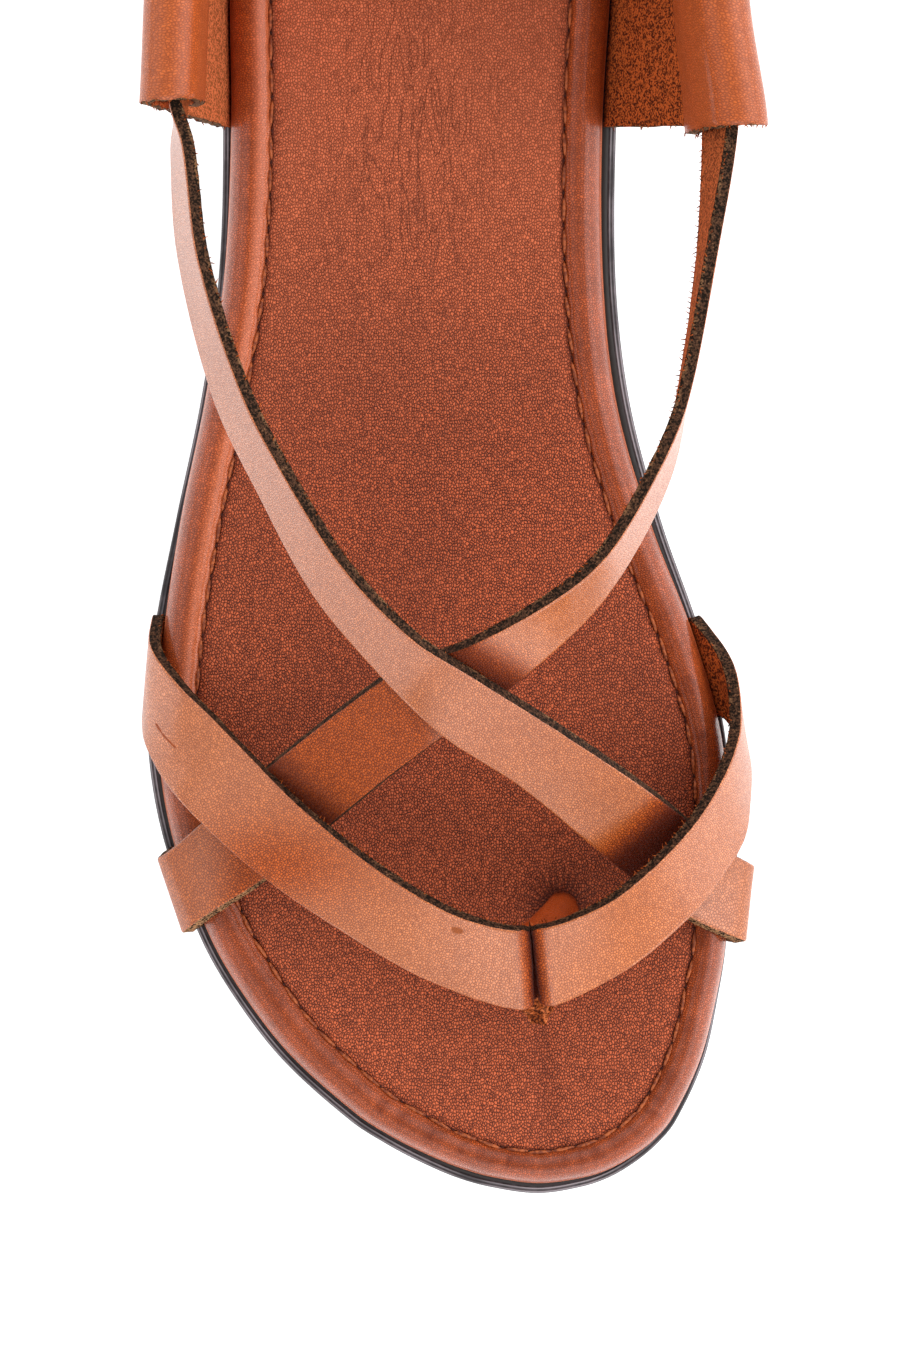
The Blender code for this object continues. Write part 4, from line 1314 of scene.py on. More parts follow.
def band_profile():
    """Closed section of a strap: grain side from front to rear, rear edge, flesh side, front edge."""
    profile = []
    for column in range(GRAIN_COLUMNS + 1):
        share = column / GRAIN_COLUMNS
        profile.append(BandPoint(share, EDGE_CORNER * (1.0 - 2.0 * share), 0.0, GRAIN))
    edge = [corner_point(angle) for angle in GRAIN_CORNER]
    edge += [(0.0, STRAP_THICK * share) for share in EDGE_SHARES]
    edge += [(offset, STRAP_THICK - depth) for offset, depth in map(corner_point, FLESH_CORNER)]
    for offset, depth in edge:
        profile.append(BandPoint(1.0, offset, depth, CUT))
    for column in range(FLESH_COLUMNS + 1):
        share = 1.0 - column / FLESH_COLUMNS
        profile.append(BandPoint(share, EDGE_CORNER * (1.0 - 2.0 * share), STRAP_THICK, FLESH))
    for offset, depth in edge[::-1]:
        profile.append(BandPoint(0.0, -offset, depth, CUT))
    return profile


BAND_PROFILE = band_profile()


def end_rows(end):
    """Rows where a strap end comes down outside the rand, bends and runs in under it."""
    edges = []
    for along in (end.rear, end.front):
        point, outward, margin, _ = sole_edge(arc_at(along, end.side))
        edges.append((point + outward * (TAB_STANDOFF - margin), outward))
    inward = -(edges[0][1] + edges[1][1]).normalized()
    start_z = min(sole_top(edge[0].y) for edge in edges) + TAB_BEND - STRAP_THICK
    offsets = []
    for angle in TAB_ANGLES:
        turn = math.radians(angle)
        offsets.append((TAB_BEND * (1.0 - math.cos(turn)), start_z - TAB_BEND * math.sin(turn)))
    offsets.append((TAB_DEPTH, start_z - TAB_BEND))
    rows = []
    for reach, height in offsets:
        rear, front = [spot + inward * reach for spot, _ in edges]
        rows.append(StrapRow(rear.x, rear.y, height, front.x, front.y, height))
    return rows


COUNTER_ARCS = (arc_at(COUNTER_FRONT, MEDIAL), arc_at(COUNTER_FRONT, LATERAL) - LOOP_ARC)


def counter_frame(share):
    """Foot of the counter's wall, its rising and its inward direction, its height and its curl."""
    start, end = COUNTER_ARCS
    point, outward, margin, _ = sole_edge(start + (end - start) * share)
    foot = point + outward * (FIT_GAP + COUNTER_WALL / 2 - margin)
    lean = math.radians(steady_value(COUNTER_ROWS, "lean", share))
    foot.z = sole_top(foot.y) + FIT_GAP + math.sin(lean) * COUNTER_WALL / 2
    top = steady_value(COUNTER_ROWS, "top", share)
    rising = UP * math.cos(lean) + outward * math.sin(lean)
    inward = UP * math.sin(lean) - outward * math.cos(lean)
    over_tunnel = TUNNEL_RADIUS * (1.0 + math.sin(lean)) + COUNTER_WALL / 2
    height = TUNNEL_RADIUS + (top - foot.z - over_tunnel) / math.cos(lean)
    rising += TOEWARD * steady_value(COUNTER_ROWS, "rake", share) / height
    return foot, rising, inward, height, steady_value(COUNTER_ROWS, "curl", share)


def wall_side(up, height, curl):
    """How far the counter's wall has curved in at a height along it."""
    return curl * smooth_share(up, 0.0, height - TUNNEL_RADIUS)


def tunnel_rows():
    """Rows of the cross strap's grain side in the tunnel, from its medial to its lateral mouth."""
    rows = []
    for step in range(TUNNEL_STEPS + 1):
        foot, rising, inward, height, curl = counter_frame(step / TUNNEL_STEPS)
        high = height - TUNNEL_HIGH_DROP
        low = height - TUNNEL_LOW_DROP
        rear = foot + rising * high + inward * (TUNNEL_HIGH_SIDE + wall_side(high, height, curl))
        front = foot + rising * low + inward * (TUNNEL_LOW_SIDE + wall_side(low, height, curl))
        rows.append(StrapRow(*rear, *front))
    return rows


# Stations along a strap, closer together near the pleat
Station = namedtuple("Station", "along front across width normal_front normal_rear")
DENSE_REACH = Fade(STRAP_STEP - DENSE_STEP, 3.0, 9.0)


def band_stations(rows, dense_spot=None):
    """Stations along a strap at even steps, closer together round a dense spot of the floor plan."""
    rear = [Vector(row[:3]) for row in rows]
    front = [Vector(row[3:]) for row in rows]
    middle = [(a + b) / 2 for a, b in zip(rear, front)]
    knots = chord_knots(middle)
    places = []
    place = 0.0
    while place < knots[-1]:
        places.append(place)
        step = STRAP_STEP
        if dense_spot is not None:
            spot = curve_point(middle, knots, place)
            away = math.hypot(spot.x - dense_spot.x, spot.y - dense_spot.y)
            step = DENSE_STEP + fade_in(DENSE_REACH, away)
        place += step
    places.append(knots[-1])
    sections = [(curve_point(rear, knots, place), curve_point(front, knots, place)) for place in places]
    stations = []
    for index, (back, fore) in enumerate(sections):
        before = sections[max(index - 1, 0)]
        after = sections[min(index + 1, len(sections) - 1)]
        across = back - fore
        normal_rear = (after[0] - before[0]).cross(across).normalized()
        normal_front = (after[1] - before[1]).cross(across).normalized()
        stations.append(
            Station(places[index], fore, across.normalized(), across.length, normal_front, normal_rear))
    return stations


# Small unevenness of the three faces of a strap
FACE_WAVES = {GRAIN: Cloud(0.06, 9.0, 4.0), CUT: Cloud(0.08, 0.9, 2.0), FLESH: Cloud(0.08, 1.2, 3.0)}


def band_spot(station, point):
    """Place of a profile point on a strap, with the small unevenness of leather, and its normal."""
    normal = station.normal_front.lerp(station.normal_rear, point.share).normalized()
    across = station.across * (point.share * station.width + point.offset)
    spot = station.front + across - normal * point.depth
    shake = rough(spot, FACE_WAVES[point.part])
    if point.part == CUT:
        spot += station.across * (shake if point.share > 0.5 else -shake)
    elif point.part == FLESH:
        spot -= normal * shake
    else:
        spot += normal * shake
    return spot, normal


def band_part(row):
    """Part of the leather that a face of the strap's section belongs to."""
    here, there = BAND_PROFILE[row], BAND_PROFILE[(row + 1) % len(BAND_PROFILE)]
    if max(here.depth, there.depth) < BEVEL_DEPTH:
        return GRAIN
    return here.part if here.part == there.part else CUT


def make_band(name, stations, place, masks, materials):
    """Piece of one strap, closed at both ends."""
    def flat(column, row):
        station, point = stations[column], BAND_PROFILE[row % len(BAND_PROFILE)]
        return Vector((station.along, point.share * station.width + point.offset))

    mesh = placed_grid(
        len(stations) - 1, len(BAND_PROFILE), place, closed_rows=True,
        part=lambda column, row: band_part(row), masks=masks, flat=flat)
    close_ends(mesh)
    finish_piece(name, mesh, materials, "upper")


# Raw leather on a painted cut edge: how deep it starts, and its patches
RAW_DEPTH = Fade(0.8, 1.2, 1.9)
RAW_PATCHES = Cloud(1.0, 1.6, 9.0)
RAW_SHARE = Fade(1.0, -0.3, 0.5)


def edge_raw(spot, point):
    """How much raw leather shows through the paint of a cut edge: more toward the flesh side."""
    if point.part != CUT:
        return 0.0
    return fade_in(RAW_DEPTH, point.depth) * fade_in(RAW_SHARE, rough(spot, RAW_PATCHES))


# Pleat of the V strap: how the folds beside it swell, the notch in the rear edge, the painted shade
# in a deeper, unglossy tan on the folds, and the width of the painted shade down the slit at the
# rear edge with its growth to the front edge
PLEAT_SWELL = Hill(0.35, 0.0, 4.5)
PLEAT_NOTCH = Hill(1.1, 0.0, 0.8)
NOTCH_EDGE = Fade(1.0, 0.8, 1.0)
PLEAT_DEEP_SHADE = Fade(1.0, 0.8, 3.4)
DEEP_SHADE_FORCE = 0.85
SLIT_SHADE = 0.7
SLIT_SHADE_GROWTH = 0.5


def pleat_place(spot):
    """Distance from the slit of the pleat, and the share of the way from its rear to its front end."""
    run = PLEAT_FRONT - PLEAT_REAR
    away = on_plan(spot) - PLEAT_REAR
    side = (run.x * away.y - run.y * away.x) / run.length
    return side, min(max(away.dot(run) / run.dot(run), 0.0), 1.0)


def pleat_drop(spot):
    """How far the V strap's leather goes down where it rolls into the slit."""
    side, share = pleat_place(spot)
    half = PLEAT_REAR_HALF + (PLEAT_FRONT_HALF - PLEAT_REAR_HALF) * share * share
    away = abs(side) - half
    if away <= 0.0:
        return PLEAT_DEPTH
    swell = hill_rise(PLEAT_SWELL, away) * smooth_share(away, 0.0, PLEAT_RADIUS)
    if away >= PLEAT_RADIUS:
        return -swell
    return PLEAT_RADIUS - math.sqrt(PLEAT_RADIUS ** 2 - (PLEAT_RADIUS - away) ** 2) - swell


def make_v_strap(materials):
    """Strap over the toes with its pleat: its stations."""
    rows = end_rows(V_LATERAL_END)[::-1] + list(V_STRAP_ROWS) + end_rows(V_MEDIAL_END)
    stations = band_stations(rows, dense_spot=(PLEAT_REAR + PLEAT_FRONT) / 2)

    def place(column, row):
        station, point = stations[column], BAND_PROFILE[row]
        spot, normal = band_spot(station, point)
        side, _ = pleat_place(spot)
        notch = hill_rise(PLEAT_NOTCH, side) * fade_in(NOTCH_EDGE, point.share)
        return spot - normal * pleat_drop(spot) - station.across * notch

    # Painted shade: a deeper, unglossy tan on the folds by the slit and on the lateral arm
    def deep_painted_shade(column, row):
        spot, _ = band_spot(stations[column], BAND_PROFILE[row])
        side, _ = pleat_place(spot)
        return max(DEEP_SHADE_FORCE * oval_hill(spot, DEEP_SHADE_SPOT, DEEP_SHADE_SIZE), fade_out(PLEAT_DEEP_SHADE, abs(side)))

    def raw(column, row):
        point = BAND_PROFILE[row]
        return edge_raw(band_spot(stations[column], point)[0], point)

    # Painted shade down the slit
    def shade(column, row):
        side, share = pleat_place(band_spot(stations[column], BAND_PROFILE[row])[0])
        return math.exp(-(side / (SLIT_SHADE + SLIT_SHADE_GROWTH * share)) ** 2)

    make_band("v_strap", stations, place, {"deep_painted_shade": deep_painted_shade, "raw": raw, "shade": shade}, materials)
    return stations


# Cut edges of the cross strap: how far from an end of the strap the front edge is raw, and slants on
# the medial run, and where toward the heel all slant ends
RAW_END = Fade(1.0, 26.0, 38.0)
SLANT_END = Fade(1.0, -45.0, -36.0)

# Shades of the cross strap: toward the heel, and on its medial and its lateral run under the V strap,
# on the outer part of the lateral run, and where that run goes under the medial one
HEEL_DUSK = Fade(0.15, -25.0, 5.0)
MEDIAL_RUN_SHADE = 0.10
MEDIAL_UNDER_V = Fade(0.88, 4.2, 7.8)
LATERAL_UNDER_V = Fade(0.85, 0.8, 8.0)
LATERAL_RUN_SHADE = Fade(0.12, -5.0, 5.0)
CROSSING_SHADE = Fade(0.8, 1.6, 7.4)

# Painted shade of the cross strap in a deeper, unglossy tan, in the same places, and its paler flesh side
# toward the heel
MEDIAL_DEEP_SHADE = Fade(1.0, 6.0, 10.0)
LATERAL_DEEP_SHADE = Fade(0.9, -5.0, 5.0)
LATERAL_DEEP_SHADE_LEAST = 0.4
LATERAL_DEEP_SHADE_START = Fade(0.6, -40.0, -32.0)
CROSSING_DEEP_SHADE = Fade(1.0, 3.2, 9.5)
HEEL_PALE_NAP = Fade(0.4, -30.0, 0.0)


def rear_edge_tree(stations):
    """Search tree of a strap's rear edge on the floor plan."""
    return search_tree([station.front + station.across * station.width for station in stations])


def make_cross_strap(materials, v_stations):
    """Strap from the lateral side over the instep, round the heel and back over itself: its stations."""
    rows = end_rows(CROSS_LATERAL_END)[::-1] + list(CROSS_LATERAL_ROWS) + tunnel_rows()
    rows += list(CROSS_MEDIAL_ROWS) + end_rows(CROSS_MEDIAL_END)
    stations = band_stations(rows)
    last = len(stations) - 1
    heel = max(range(len(stations)), key=lambda index: stations[index].front.y)
    under_v = rear_edge_tree(v_stations)
    under_itself = rear_edge_tree(stations[heel:])

    def place(column, row):
        station, point = stations[column], BAND_PROFILE[row]
        spot, _ = band_spot(station, point)
        if point.part == CUT:
            near_end = fade_out(RAW_END, (last - column) * STRAP_STEP)
            front = FRONT_SLANT if column < heel else FRONT_SLANT * near_end
            slant = EDGE_SLANT if point.share > 0.5 else -front
            slant *= fade_out(SLANT_END, spot.y)
            spot += station.across * slant * point.depth / STRAP_THICK
        return spot

    def raw(column, row):
        point = BAND_PROFILE[row]
        spot, _ = band_spot(stations[column], point)
        near_end = fade_out(RAW_END, min(column, last - column) * STRAP_STEP)
        front_end = near_end if point.part == CUT and point.share < 0.5 else 0.0
        return max(front_end, edge_raw(spot, point))

    def shade(column, row):
        spot = on_plan(place(column, row))
        from_v = under_v.find(spot)[2]
        dusk = fade_in(HEEL_DUSK, spot.y)
        if column > heel:
            return max(MEDIAL_RUN_SHADE, dusk, fade_out(MEDIAL_UNDER_V, from_v))
        crossing = fade_out(CROSSING_SHADE, under_itself.find(spot)[2])
        lateral = max(fade_out(LATERAL_UNDER_V, from_v), fade_out(LATERAL_RUN_SHADE, spot.x))
        return max(dusk / 2, lateral, crossing)

    # Painted shade in a deeper, unglossy tan under the V strap, on the lateral run and round the crossing
    def deep_painted_shade(column, row):
        spot = on_plan(place(column, row))
        if column > heel:
            return fade_out(MEDIAL_DEEP_SHADE, under_v.find(spot)[2])
        lateral = fade_out(LATERAL_DEEP_SHADE, spot.x) * (LATERAL_DEEP_SHADE_LEAST + fade_in(LATERAL_DEEP_SHADE_START, spot.x))
        return max(lateral, fade_out(CROSSING_DEEP_SHADE, under_itself.find(spot)[2]))

    def pale_nap(column, row):
        return fade_in(HEEL_PALE_NAP, place(column, row).y)

    masks = {"raw": raw, "shade": shade, "deep_painted_shade": deep_painted_shade, "pale_nap": pale_nap}
    make_band("cross_strap", stations, place, masks, materials)
    return stations


# Loose fibres of raw leather: how far back on the straps they go, how many stand on a millimetre of a
# strap's edges or at a point of the counter's rims, and their shape
FIBRE_LIMIT = 41.0
REAR_FIBRES = 0.8
FRONT_FIBRES = 1.4
RIM_FIBRES = 0.35
FIBRE_LENGTHS = (0.3, 0.9)
FIBRE_FOOT = 0.13
FIBRE_TIP = 0.03
FIBRE_SIDES = 3
FIBRE_SEED = 11
FibreRoot = namedtuple("FibreRoot", "spot direction")

# Where fibres root in the strap's section, and how they lean along, out of and down from it
RUN_LEANS = (-0.8, 0.8)
REAR_DEPTHS = (0.7, 1.0)
REAR_OUT_LEANS = (0.1, 0.8)
REAR_DOWN_LEANS = (0.1, 1.0)
FRONT_INSETS = (0.0, 1.5)
FRONT_OUT_LEANS = (-0.5, 0.3)
RIM_LEANS = (-0.7, 0.7)


def band_fibres(stations, chance):
    """Roots of fibres along the flesh side of a strap, at its rear edge and at its front edge."""
    roots = []
    for before, station in zip(stations, stations[1:]):
        front, across = station.front, station.across
        step = (front - before.front).length
        if front.y > FIBRE_LIMIT:
            continue
        run = (front - before.front).normalized() * chance.uniform(*RUN_LEANS)
        if chance.random() < REAR_FIBRES * step:
            down = station.normal_rear
            spot = front + across * station.width
            spot -= down * STRAP_THICK * chance.uniform(*REAR_DEPTHS)
            lean = across * chance.uniform(*REAR_OUT_LEANS) - down * chance.uniform(*REAR_DOWN_LEANS)
            roots.append(FibreRoot(spot, (lean + run).normalized()))
        if chance.random() < FRONT_FIBRES * step:
            down = station.normal_front
            spot = front + across * chance.uniform(*FRONT_INSETS) - down * STRAP_THICK
            lean = across * chance.uniform(*FRONT_OUT_LEANS) - down
            roots.append(FibreRoot(spot, (lean + run).normalized()))
    return roots


def rim_fibres(rims, chance):
    """Roots of fibres along the raw front rims of the heel counter."""
    roots = []
    for rim in rims:
        for spot in rim:
            if chance.random() < RIM_FIBRES:
                lean = Vector((chance.uniform(*RIM_LEANS), TOEWARD.y, chance.uniform(*RIM_LEANS)))
                roots.append(FibreRoot(spot, lean.normalized()))
    return roots


def make_loose_fibres(material, roots, chance):
    """Thin cones that stand on the roots."""
    mesh = bmesh.new()
    for root in roots:
        length = chance.uniform(*FIBRE_LENGTHS)
        turn = root.direction.to_track_quat("Z", "Y").to_matrix().to_4x4()
        matrix = Matrix.Scale(MM, 4) @ Matrix.Translation(root.spot + root.direction * length / 2) @ turn
        bmesh.ops.create_cone(
            mesh, cap_ends=True, segments=FIBRE_SIDES, radius1=FIBRE_FOOT, radius2=FIBRE_TIP, depth=length,
            matrix=matrix)
    finish_piece("loose_fibres", mesh, [material])


# Frayed end of the post's leather, from under the pleat to its tip: its size, how square its section
# is, how it narrows, how ragged it is each way and toward its tip, and the painted shade and painted
# highlight of its tufts
TAIL_START = Vector((14.2, -92.5, 20.0))
TAIL_END = Vector((13.9, -99.4, 17.4))
TAIL_HALF_WIDTH = 2.5
TAIL_HALF_THICK = 0.9
TAIL_SIDES = 40
TAIL_STEPS = 34
TAIL_SQUARE = 0.7
TAIL_NARROWING = Fade(0.55, 0.6, 1.0)
TAIL_SHAKES = (Cloud(0.35, 1.1, 21.0), Cloud(0.8, 1.0, 22.0), Cloud(0.4, 1.0, 23.0))
TAIL_RAGGED = Fade(1.0, 0.5, 1.0)
TAIL_TUFTS = Cloud(1.0, 0.7, 24.0)
TUFT_SHADE = Fade(0.60, -0.2, 0.4)
TUFT_PAINTED_HIGHLIGHT = Fade(0.8, 0.0, 0.5)


def make_post_tail(material):
    """Flat frayed strip, closed at both ends."""
    def squared(value):
        return math.copysign(abs(value) ** TAIL_SQUARE, value)

    def place(column, row):
        share = row / TAIL_STEPS
        turn = 2 * math.pi * column / TAIL_SIDES
        wide = squared(math.cos(turn)) * TAIL_HALF_WIDTH * (1.0 - fade_in(TAIL_NARROWING, share))
        tall = squared(math.sin(turn)) * TAIL_HALF_THICK
        spot = TAIL_START.lerp(TAIL_END, share) + Vector((wide, 0.0, tall))
        aside, ahead, up = [rough(spot, cloud) for cloud in TAIL_SHAKES]
        return spot + Vector((aside, ahead * fade_in(TAIL_RAGGED, share), up))

    # Painted shade between the tufts, and painted highlight on them
    def shade(column, row):
        return fade_out(TUFT_SHADE, rough(place(column, row), TAIL_TUFTS))

    def pale_nap(column, row):
        return fade_in(TUFT_PAINTED_HIGHLIGHT, rough(place(column, row), TAIL_TUFTS))

    mesh = placed_grid(
        TAIL_SIDES, TAIL_STEPS, place, closed_columns=True, masks={"shade": shade, "pale_nap": pale_nap})
    close_ends(mesh)
    finish_piece("post_tail", mesh, [material])


# Heel counter: points of its middle line up the wall, over the fold and down the flap, how far the
# flap's ends reach toward the toe, and how many columns that takes
COUNTER_WALL_STEPS = 26
COUNTER_FOLD_STEPS = 22
COUNTER_FLAP_STEPS = 20
COUNTER_LINE = COUNTER_WALL_STEPS + COUNTER_FOLD_STEPS + 1 + COUNTER_FLAP_STEPS
MEDIAL_FLAP_REACH = 1.6
LATERAL_FLAP_REACH = -1.0
FLAP_END_COLUMNS = 6.0

# Its unevenness at the front rims, on its flesh side and on its grain side
RIM_WAVES = Cloud(0.35, 1.3, 11.0)
FLESH_WAVES = Cloud(0.10, 7.0, 12.0)
GRAIN_WAVES = Cloud(0.05, 7.0, 12.0)

# Its raw edges, painted light on its flesh side from the heel on to the lateral end, and painted shade
# in darker, unglossy bands along the fold, with their scale across and along it
COUNTER_RAW = 0.6
COUNTER_PAINTED_LIGHT = Fade(1.0, 0.4, 0.7)
SHADE_BANDS = Cloud(1.0, 3.0, 16.0)
SHADE_BAND_SCALES = (0.9, 0.05)
COUNTER_DEEP_SHADE = Fade(0.75, COUNTER_WALL_STEPS + 4, COUNTER_WALL_STEPS + COUNTER_FOLD_STEPS)


def counter_line(height, curl):
    """Middle line of the counter's section: up the wall, over the tunnel and down the sewn flap."""
    shoulder = height - TUNNEL_RADIUS
    line = []
    for step in range(COUNTER_WALL_STEPS):
        up = shoulder * step / COUNTER_WALL_STEPS
        line.append((up, wall_side(up, height, curl)))
    for step in range(COUNTER_FOLD_STEPS + 1):
        turn = math.pi * step / COUNTER_FOLD_STEPS
        side = curl + TUNNEL_RADIUS * (1.0 - math.cos(turn))
        line.append((shoulder + TUNNEL_RADIUS * math.sin(turn), side))
    flap_foot = COUNTER_WALL + FIT_GAP
    for step in range(1, COUNTER_FLAP_STEPS + 1):
        share = step / COUNTER_FLAP_STEPS
        up = shoulder - share * (TUNNEL_DEPTH - TUNNEL_RADIUS)
        clear = flap_foot + (2 * TUNNEL_RADIUS - flap_foot) * (1.0 - share * share)
        line.append((up, wall_side(up, height, curl) + clear))
    return line


def line_index(row):
    """Point of the counter's middle line beside which a row of its closed section lies."""
    row %= 2 * COUNTER_LINE
    return row if row < COUNTER_LINE else 2 * COUNTER_LINE - 1 - row


def make_heel_counter(materials):
    """Folded wall with its flesh side toward the foot, and its grain side out, over and down the flap.

    Gives back the points of its two front rims.
    """
    loops = []
    half = COUNTER_WALL / 2
    for step in range(COUNTER_STEPS + 1):
        foot, rising, inward, height, curl = counter_frame(step / COUNTER_STEPS)
        line = counter_line(height, curl)
        flesh, skin = [], []
        for index, (up, side) in enumerate(line):
            before, after = line[max(index - 1, 0)], line[min(index + 1, len(line) - 1)]
            run = Vector((after[0] - before[0], after[1] - before[1])).normalized()
            flesh.append(foot + rising * (up - run.y * half) + inward * (side + run.x * half))
            skin.append(foot + rising * (up + run.y * half) + inward * (side - run.x * half))
        loops.append(flesh + skin[::-1])

    def place(column, row):
        spot = loops[column][row].copy()
        end = min(column, COUNTER_STEPS - column)
        if end == 0:
            spot += TOEWARD * rough(spot, RIM_WAVES)
        on_flap = smooth_share(line_index(row), COUNTER_WALL_STEPS, COUNTER_LINE - 1)
        reach = MEDIAL_FLAP_REACH if column < COUNTER_STEPS / 2 else LATERAL_FLAP_REACH
        spot += TOEWARD * reach * on_flap * math.exp(-end / FLAP_END_COLUMNS)
        return spot + UP * rough(spot, FLESH_WAVES if row < COUNTER_LINE else GRAIN_WAVES)

    *_, height, curl = counter_frame(0.5)
    lengths = chord_knots([Vector(spot) for spot in counter_line(height, curl)])

    def flat(column, row):
        arc = (COUNTER_ARCS[0] - COUNTER_ARCS[1]) * column / COUNTER_STEPS
        return Vector((arc, lengths[line_index(row)]))

    # Painted light: a paler flesh side on the lateral wall
    def pale_nap(column, row):
        return fade_in(COUNTER_PAINTED_LIGHT, column / COUNTER_STEPS)

    # Painted shade in darker, unglossy bands along the fold
    def deep_painted_shade(column, row):
        index = line_index(row)
        across, along = SHADE_BAND_SCALES
        bands = rough_share(Vector((index * across, along * loops[column][row].y, 0.0)), SHADE_BANDS)
        return bands * fade_in(COUNTER_DEEP_SHADE, index)

    def part(column, row):
        if row < COUNTER_LINE - 1:
            return FLESH
        return CUT if row in (COUNTER_LINE - 1, 2 * COUNTER_LINE - 1) else GRAIN

    mesh = placed_grid(
        COUNTER_STEPS, 2 * COUNTER_LINE, place, closed_rows=True, part=part,
        masks={"raw": lambda column, row: COUNTER_RAW, "pale_nap": pale_nap, "deep_painted_shade": deep_painted_shade}, flat=flat)
    for face in close_ends(mesh):
        face.material_index = CUT
    finish_piece("heel_counter", mesh, materials, "heel_counter")
    rims = []
    for column in (0, COUNTER_STEPS):
        rims.append([place(column, row) for row in range(2 * COUNTER_LINE)])
    return rims


# Toe post: a rolled strip of leather that leans from its hole in the insole to the pleat
POST_GIRTH = 17.0
PostRow = namedtuple("PostRow", "x y z wide deep")
POST_ROWS = [PostRow(*row) for row in (
    (17.9, -81.5, 5.4, 2.5, 2.7),
    (17.9, -81.7, 10.5, 2.6, 2.7),
    (16.2, -83.4, 15.0, 3.4, 1.9),
    (14.6, -85.4, 18.0, 4.3, 1.7),
    (14.2, -88.8, 20.5, 4.4, 1.7),
)]

# How much the lap of the roll adds and how far round it is turned, in turns, the reach over which the
# post's direction is taken, its unevenness, and the shade at its foot
POST_LAP = 0.10
POST_LAP_TURN = 0.30
POST_RUN_REACH = 0.5
POST_WAVES = Cloud(0.12, 2.2, 14.0)
POST_SHADE = Fade(0.6, 10.0, 12.5)


def make_toe_post(material):
    """Rolled post, closed at both ends."""
    points = [Vector((row.x, row.y, row.z)) for row in POST_ROWS]
    sizes = [Vector((row.wide, row.deep, 0.0)) for row in POST_ROWS]
    knots = chord_knots(points)

    def place(column, row):
        at = knots[-1] * row / POST_STEPS
        middle = curve_point(points, knots, at)
        size = curve_point(sizes, knots, at)
        before = curve_point(points, knots, max(at - POST_RUN_REACH, 0.0))
        run = curve_point(points, knots, min(at + POST_RUN_REACH, knots[-1])) - before
        side = Vector((1.0, 0.0, 0.0))
        front = side.cross(run).normalized()
        turn = 2 * math.pi * column / POST_SIDES
        lap = 1.0 + POST_LAP * ((column / POST_SIDES + POST_LAP_TURN) % 1.0)
        spot = middle + side * math.cos(turn) * size.x * lap + front * math.sin(turn) * size.y * lap
        return spot + front * rough(spot, POST_WAVES)

    def shade(column, row):
        return fade_out(POST_SHADE, place(column, row).z)

    def flat(column, row):
        return Vector((POST_GIRTH * column / POST_SIDES, knots[-1] * row / POST_STEPS))

    mesh = placed_grid(
        POST_SIDES, POST_STEPS, place, closed_columns=True, masks={"shade": shade}, flat=flat)
    close_ends(mesh)
    finish_piece("toe_post", mesh, [material], "toe_post")


# Floor of the stage: its colours, flecks to the metre, glow, half its size in metres, and the gap
# under the sole in millimetres
FLOOR_SHADE = (0.80, 0.80, 0.80, 1.0)
FLOOR_WHITE = (0.84, 0.84, 0.84, 1.0)
FLOOR_FLECKS = 40.0
FLOOR_GLOW = 0.7
FLOOR_HALF = 3.0
FLOOR_GAP = 0.1


def make_stage():
    """White paper under the sandal."""
    mesh = bmesh.new()
    bmesh.ops.create_grid(mesh, x_segments=1, y_segments=1, size=FLOOR_HALF)
    bmesh.ops.translate(mesh, verts=mesh.verts, vec=-UP * FLOOR_GAP * MM)
    material, tree, shader, place = new_material("floor_paper", {
        "Roughness": 0.9, "Emission Color": WHITE, "Emission Strength": FLOOR_GLOW})
    fleck = cloud_share(tree, place, FLOOR_FLECKS, detail=2.0)
    set_inputs(tree, shader, {"Base Color": blend_colours(tree, fleck, FLOOR_SHADE, FLOOR_WHITE)})
    data = mesh_data("floor", mesh)
    data.materials.append(material)
    floor = add_object("floor", data)


# White light tent: the middle of each glowing side, and its strength
TentSide = namedtuple("TentSide", "direction strength")
TENT_SIDES = (
    TentSide(Vector((-1.0, 0.0, 0.6)), 1.15),
    TentSide(Vector((1.0, 0.0, 0.6)), 2.8),
    TentSide(Vector((0.0, -1.0, 0.6)), 2.1),
    TentSide(Vector((0.0, 1.0, 0.6)), 2.0),
)
TENT_FOCUS = 5.0


def make_world():
    """Light tent whose sides glow and whose top is dark, where the camera looks in."""
    world = bpy.data.worlds.new("light_tent")
    world.use_nodes = True
    tree = world.node_tree
    direction = tree.nodes.new("ShaderNodeTexCoord").outputs["Generated"]
    strength = 0.0
    for side in TENT_SIDES:
        facing = measure(tree, "DOT_PRODUCT", direction, side.direction.normalized())
        glow = calculate(tree, "POWER", calculate(tree, "MAXIMUM", facing, 0.0), TENT_FOCUS)
        strength = calculate(tree, "MULTIPLY_ADD", glow, side.strength, strength)
    set_inputs(tree, tree.nodes["Background"], {"Color": WHITE, "Strength": strength})
    bpy.context.scene.world = world


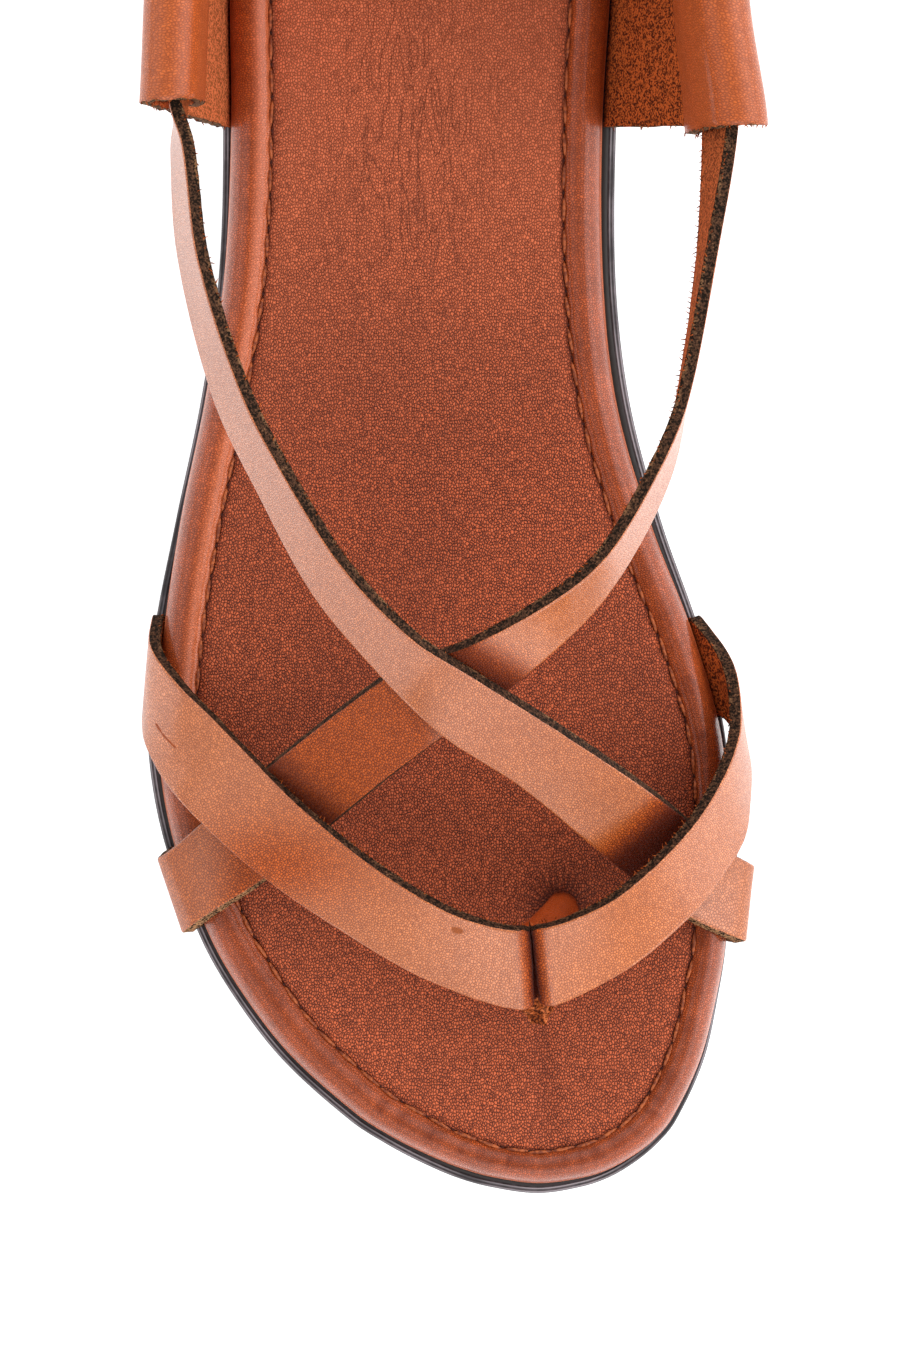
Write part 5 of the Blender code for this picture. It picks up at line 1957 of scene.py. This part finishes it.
# Camera straight over the sandal: its place in metres, its lens and its sensor
CAMERA_PLACE = Vector((0.0, -0.044, 0.910))
CAMERA_LENS = 150.0
CAMERA_SENSOR = 36.0


def make_camera():
    """Camera of the photograph, and the plain view transform."""
    data = bpy.data.cameras.new("photo_view")
    data.lens = CAMERA_LENS
    data.sensor_width = CAMERA_SENSOR
    camera = add_object("photo_view", data)
    camera.location = CAMERA_PLACE
    bpy.context.scene.camera = camera
    bpy.context.scene.view_settings.view_transform = "Standard"


# Creases and scuffs on the V strap
Mark = namedtuple("Mark", "start end width colour")
V_MARKS = (
    Mark(Vector((-46.9, -51.9, 0.0)), Vector((-45.6, -53.7, 0.0)), 0.40, CREASE_BROWN),
    Mark(Vector((-45.6, -53.7, 0.0)), Vector((-43.7, -55.5, 0.0)), 0.34, CREASE_BROWN),
    Mark(Vector((0.6, -83.8, 0.0)), Vector((1.6, -84.1, 0.0)), 0.9, SMUDGE_BROWN),
)


def main():
    make_camera()
    make_world()
    make_stage()
    groups = Groups(
        make_grain_group(), make_tone_group(), make_nap_group(), make_mark_group(), make_pucker_group())
    cut_edge = make_cut_edge(groups)
    flesh_side = make_suede(groups)
    strap_faces = [make_leather("strap_grain", STRAP_LOOK, groups, V_MARKS), cut_edge, flesh_side]
    counter_faces = [make_leather("counter_grain", COUNTER_LOOK, groups), cut_edge, flesh_side]
    make_insole(make_leather("insole_leather", INSOLE_LOOK, groups, wrinkled=True))
    make_rand(make_leather("rand_leather", RAND_LOOK, groups))
    make_stitches(make_thread(), make_hole_shade())
    make_outsole(make_rubber())
    v_stations = make_v_strap(strap_faces)
    cross_stations = make_cross_strap(strap_faces, v_stations)
    counter_rims = make_heel_counter(counter_faces)
    chance = random.Random(FIBRE_SEED)
    roots = band_fibres(v_stations, chance) + band_fibres(cross_stations, chance)
    roots += rim_fibres(counter_rims, chance)
    make_loose_fibres(flesh_side, roots, chance)
    make_toe_post(make_leather("post_leather", POST_LOOK, groups))
    make_post_tail(flesh_side)


main()
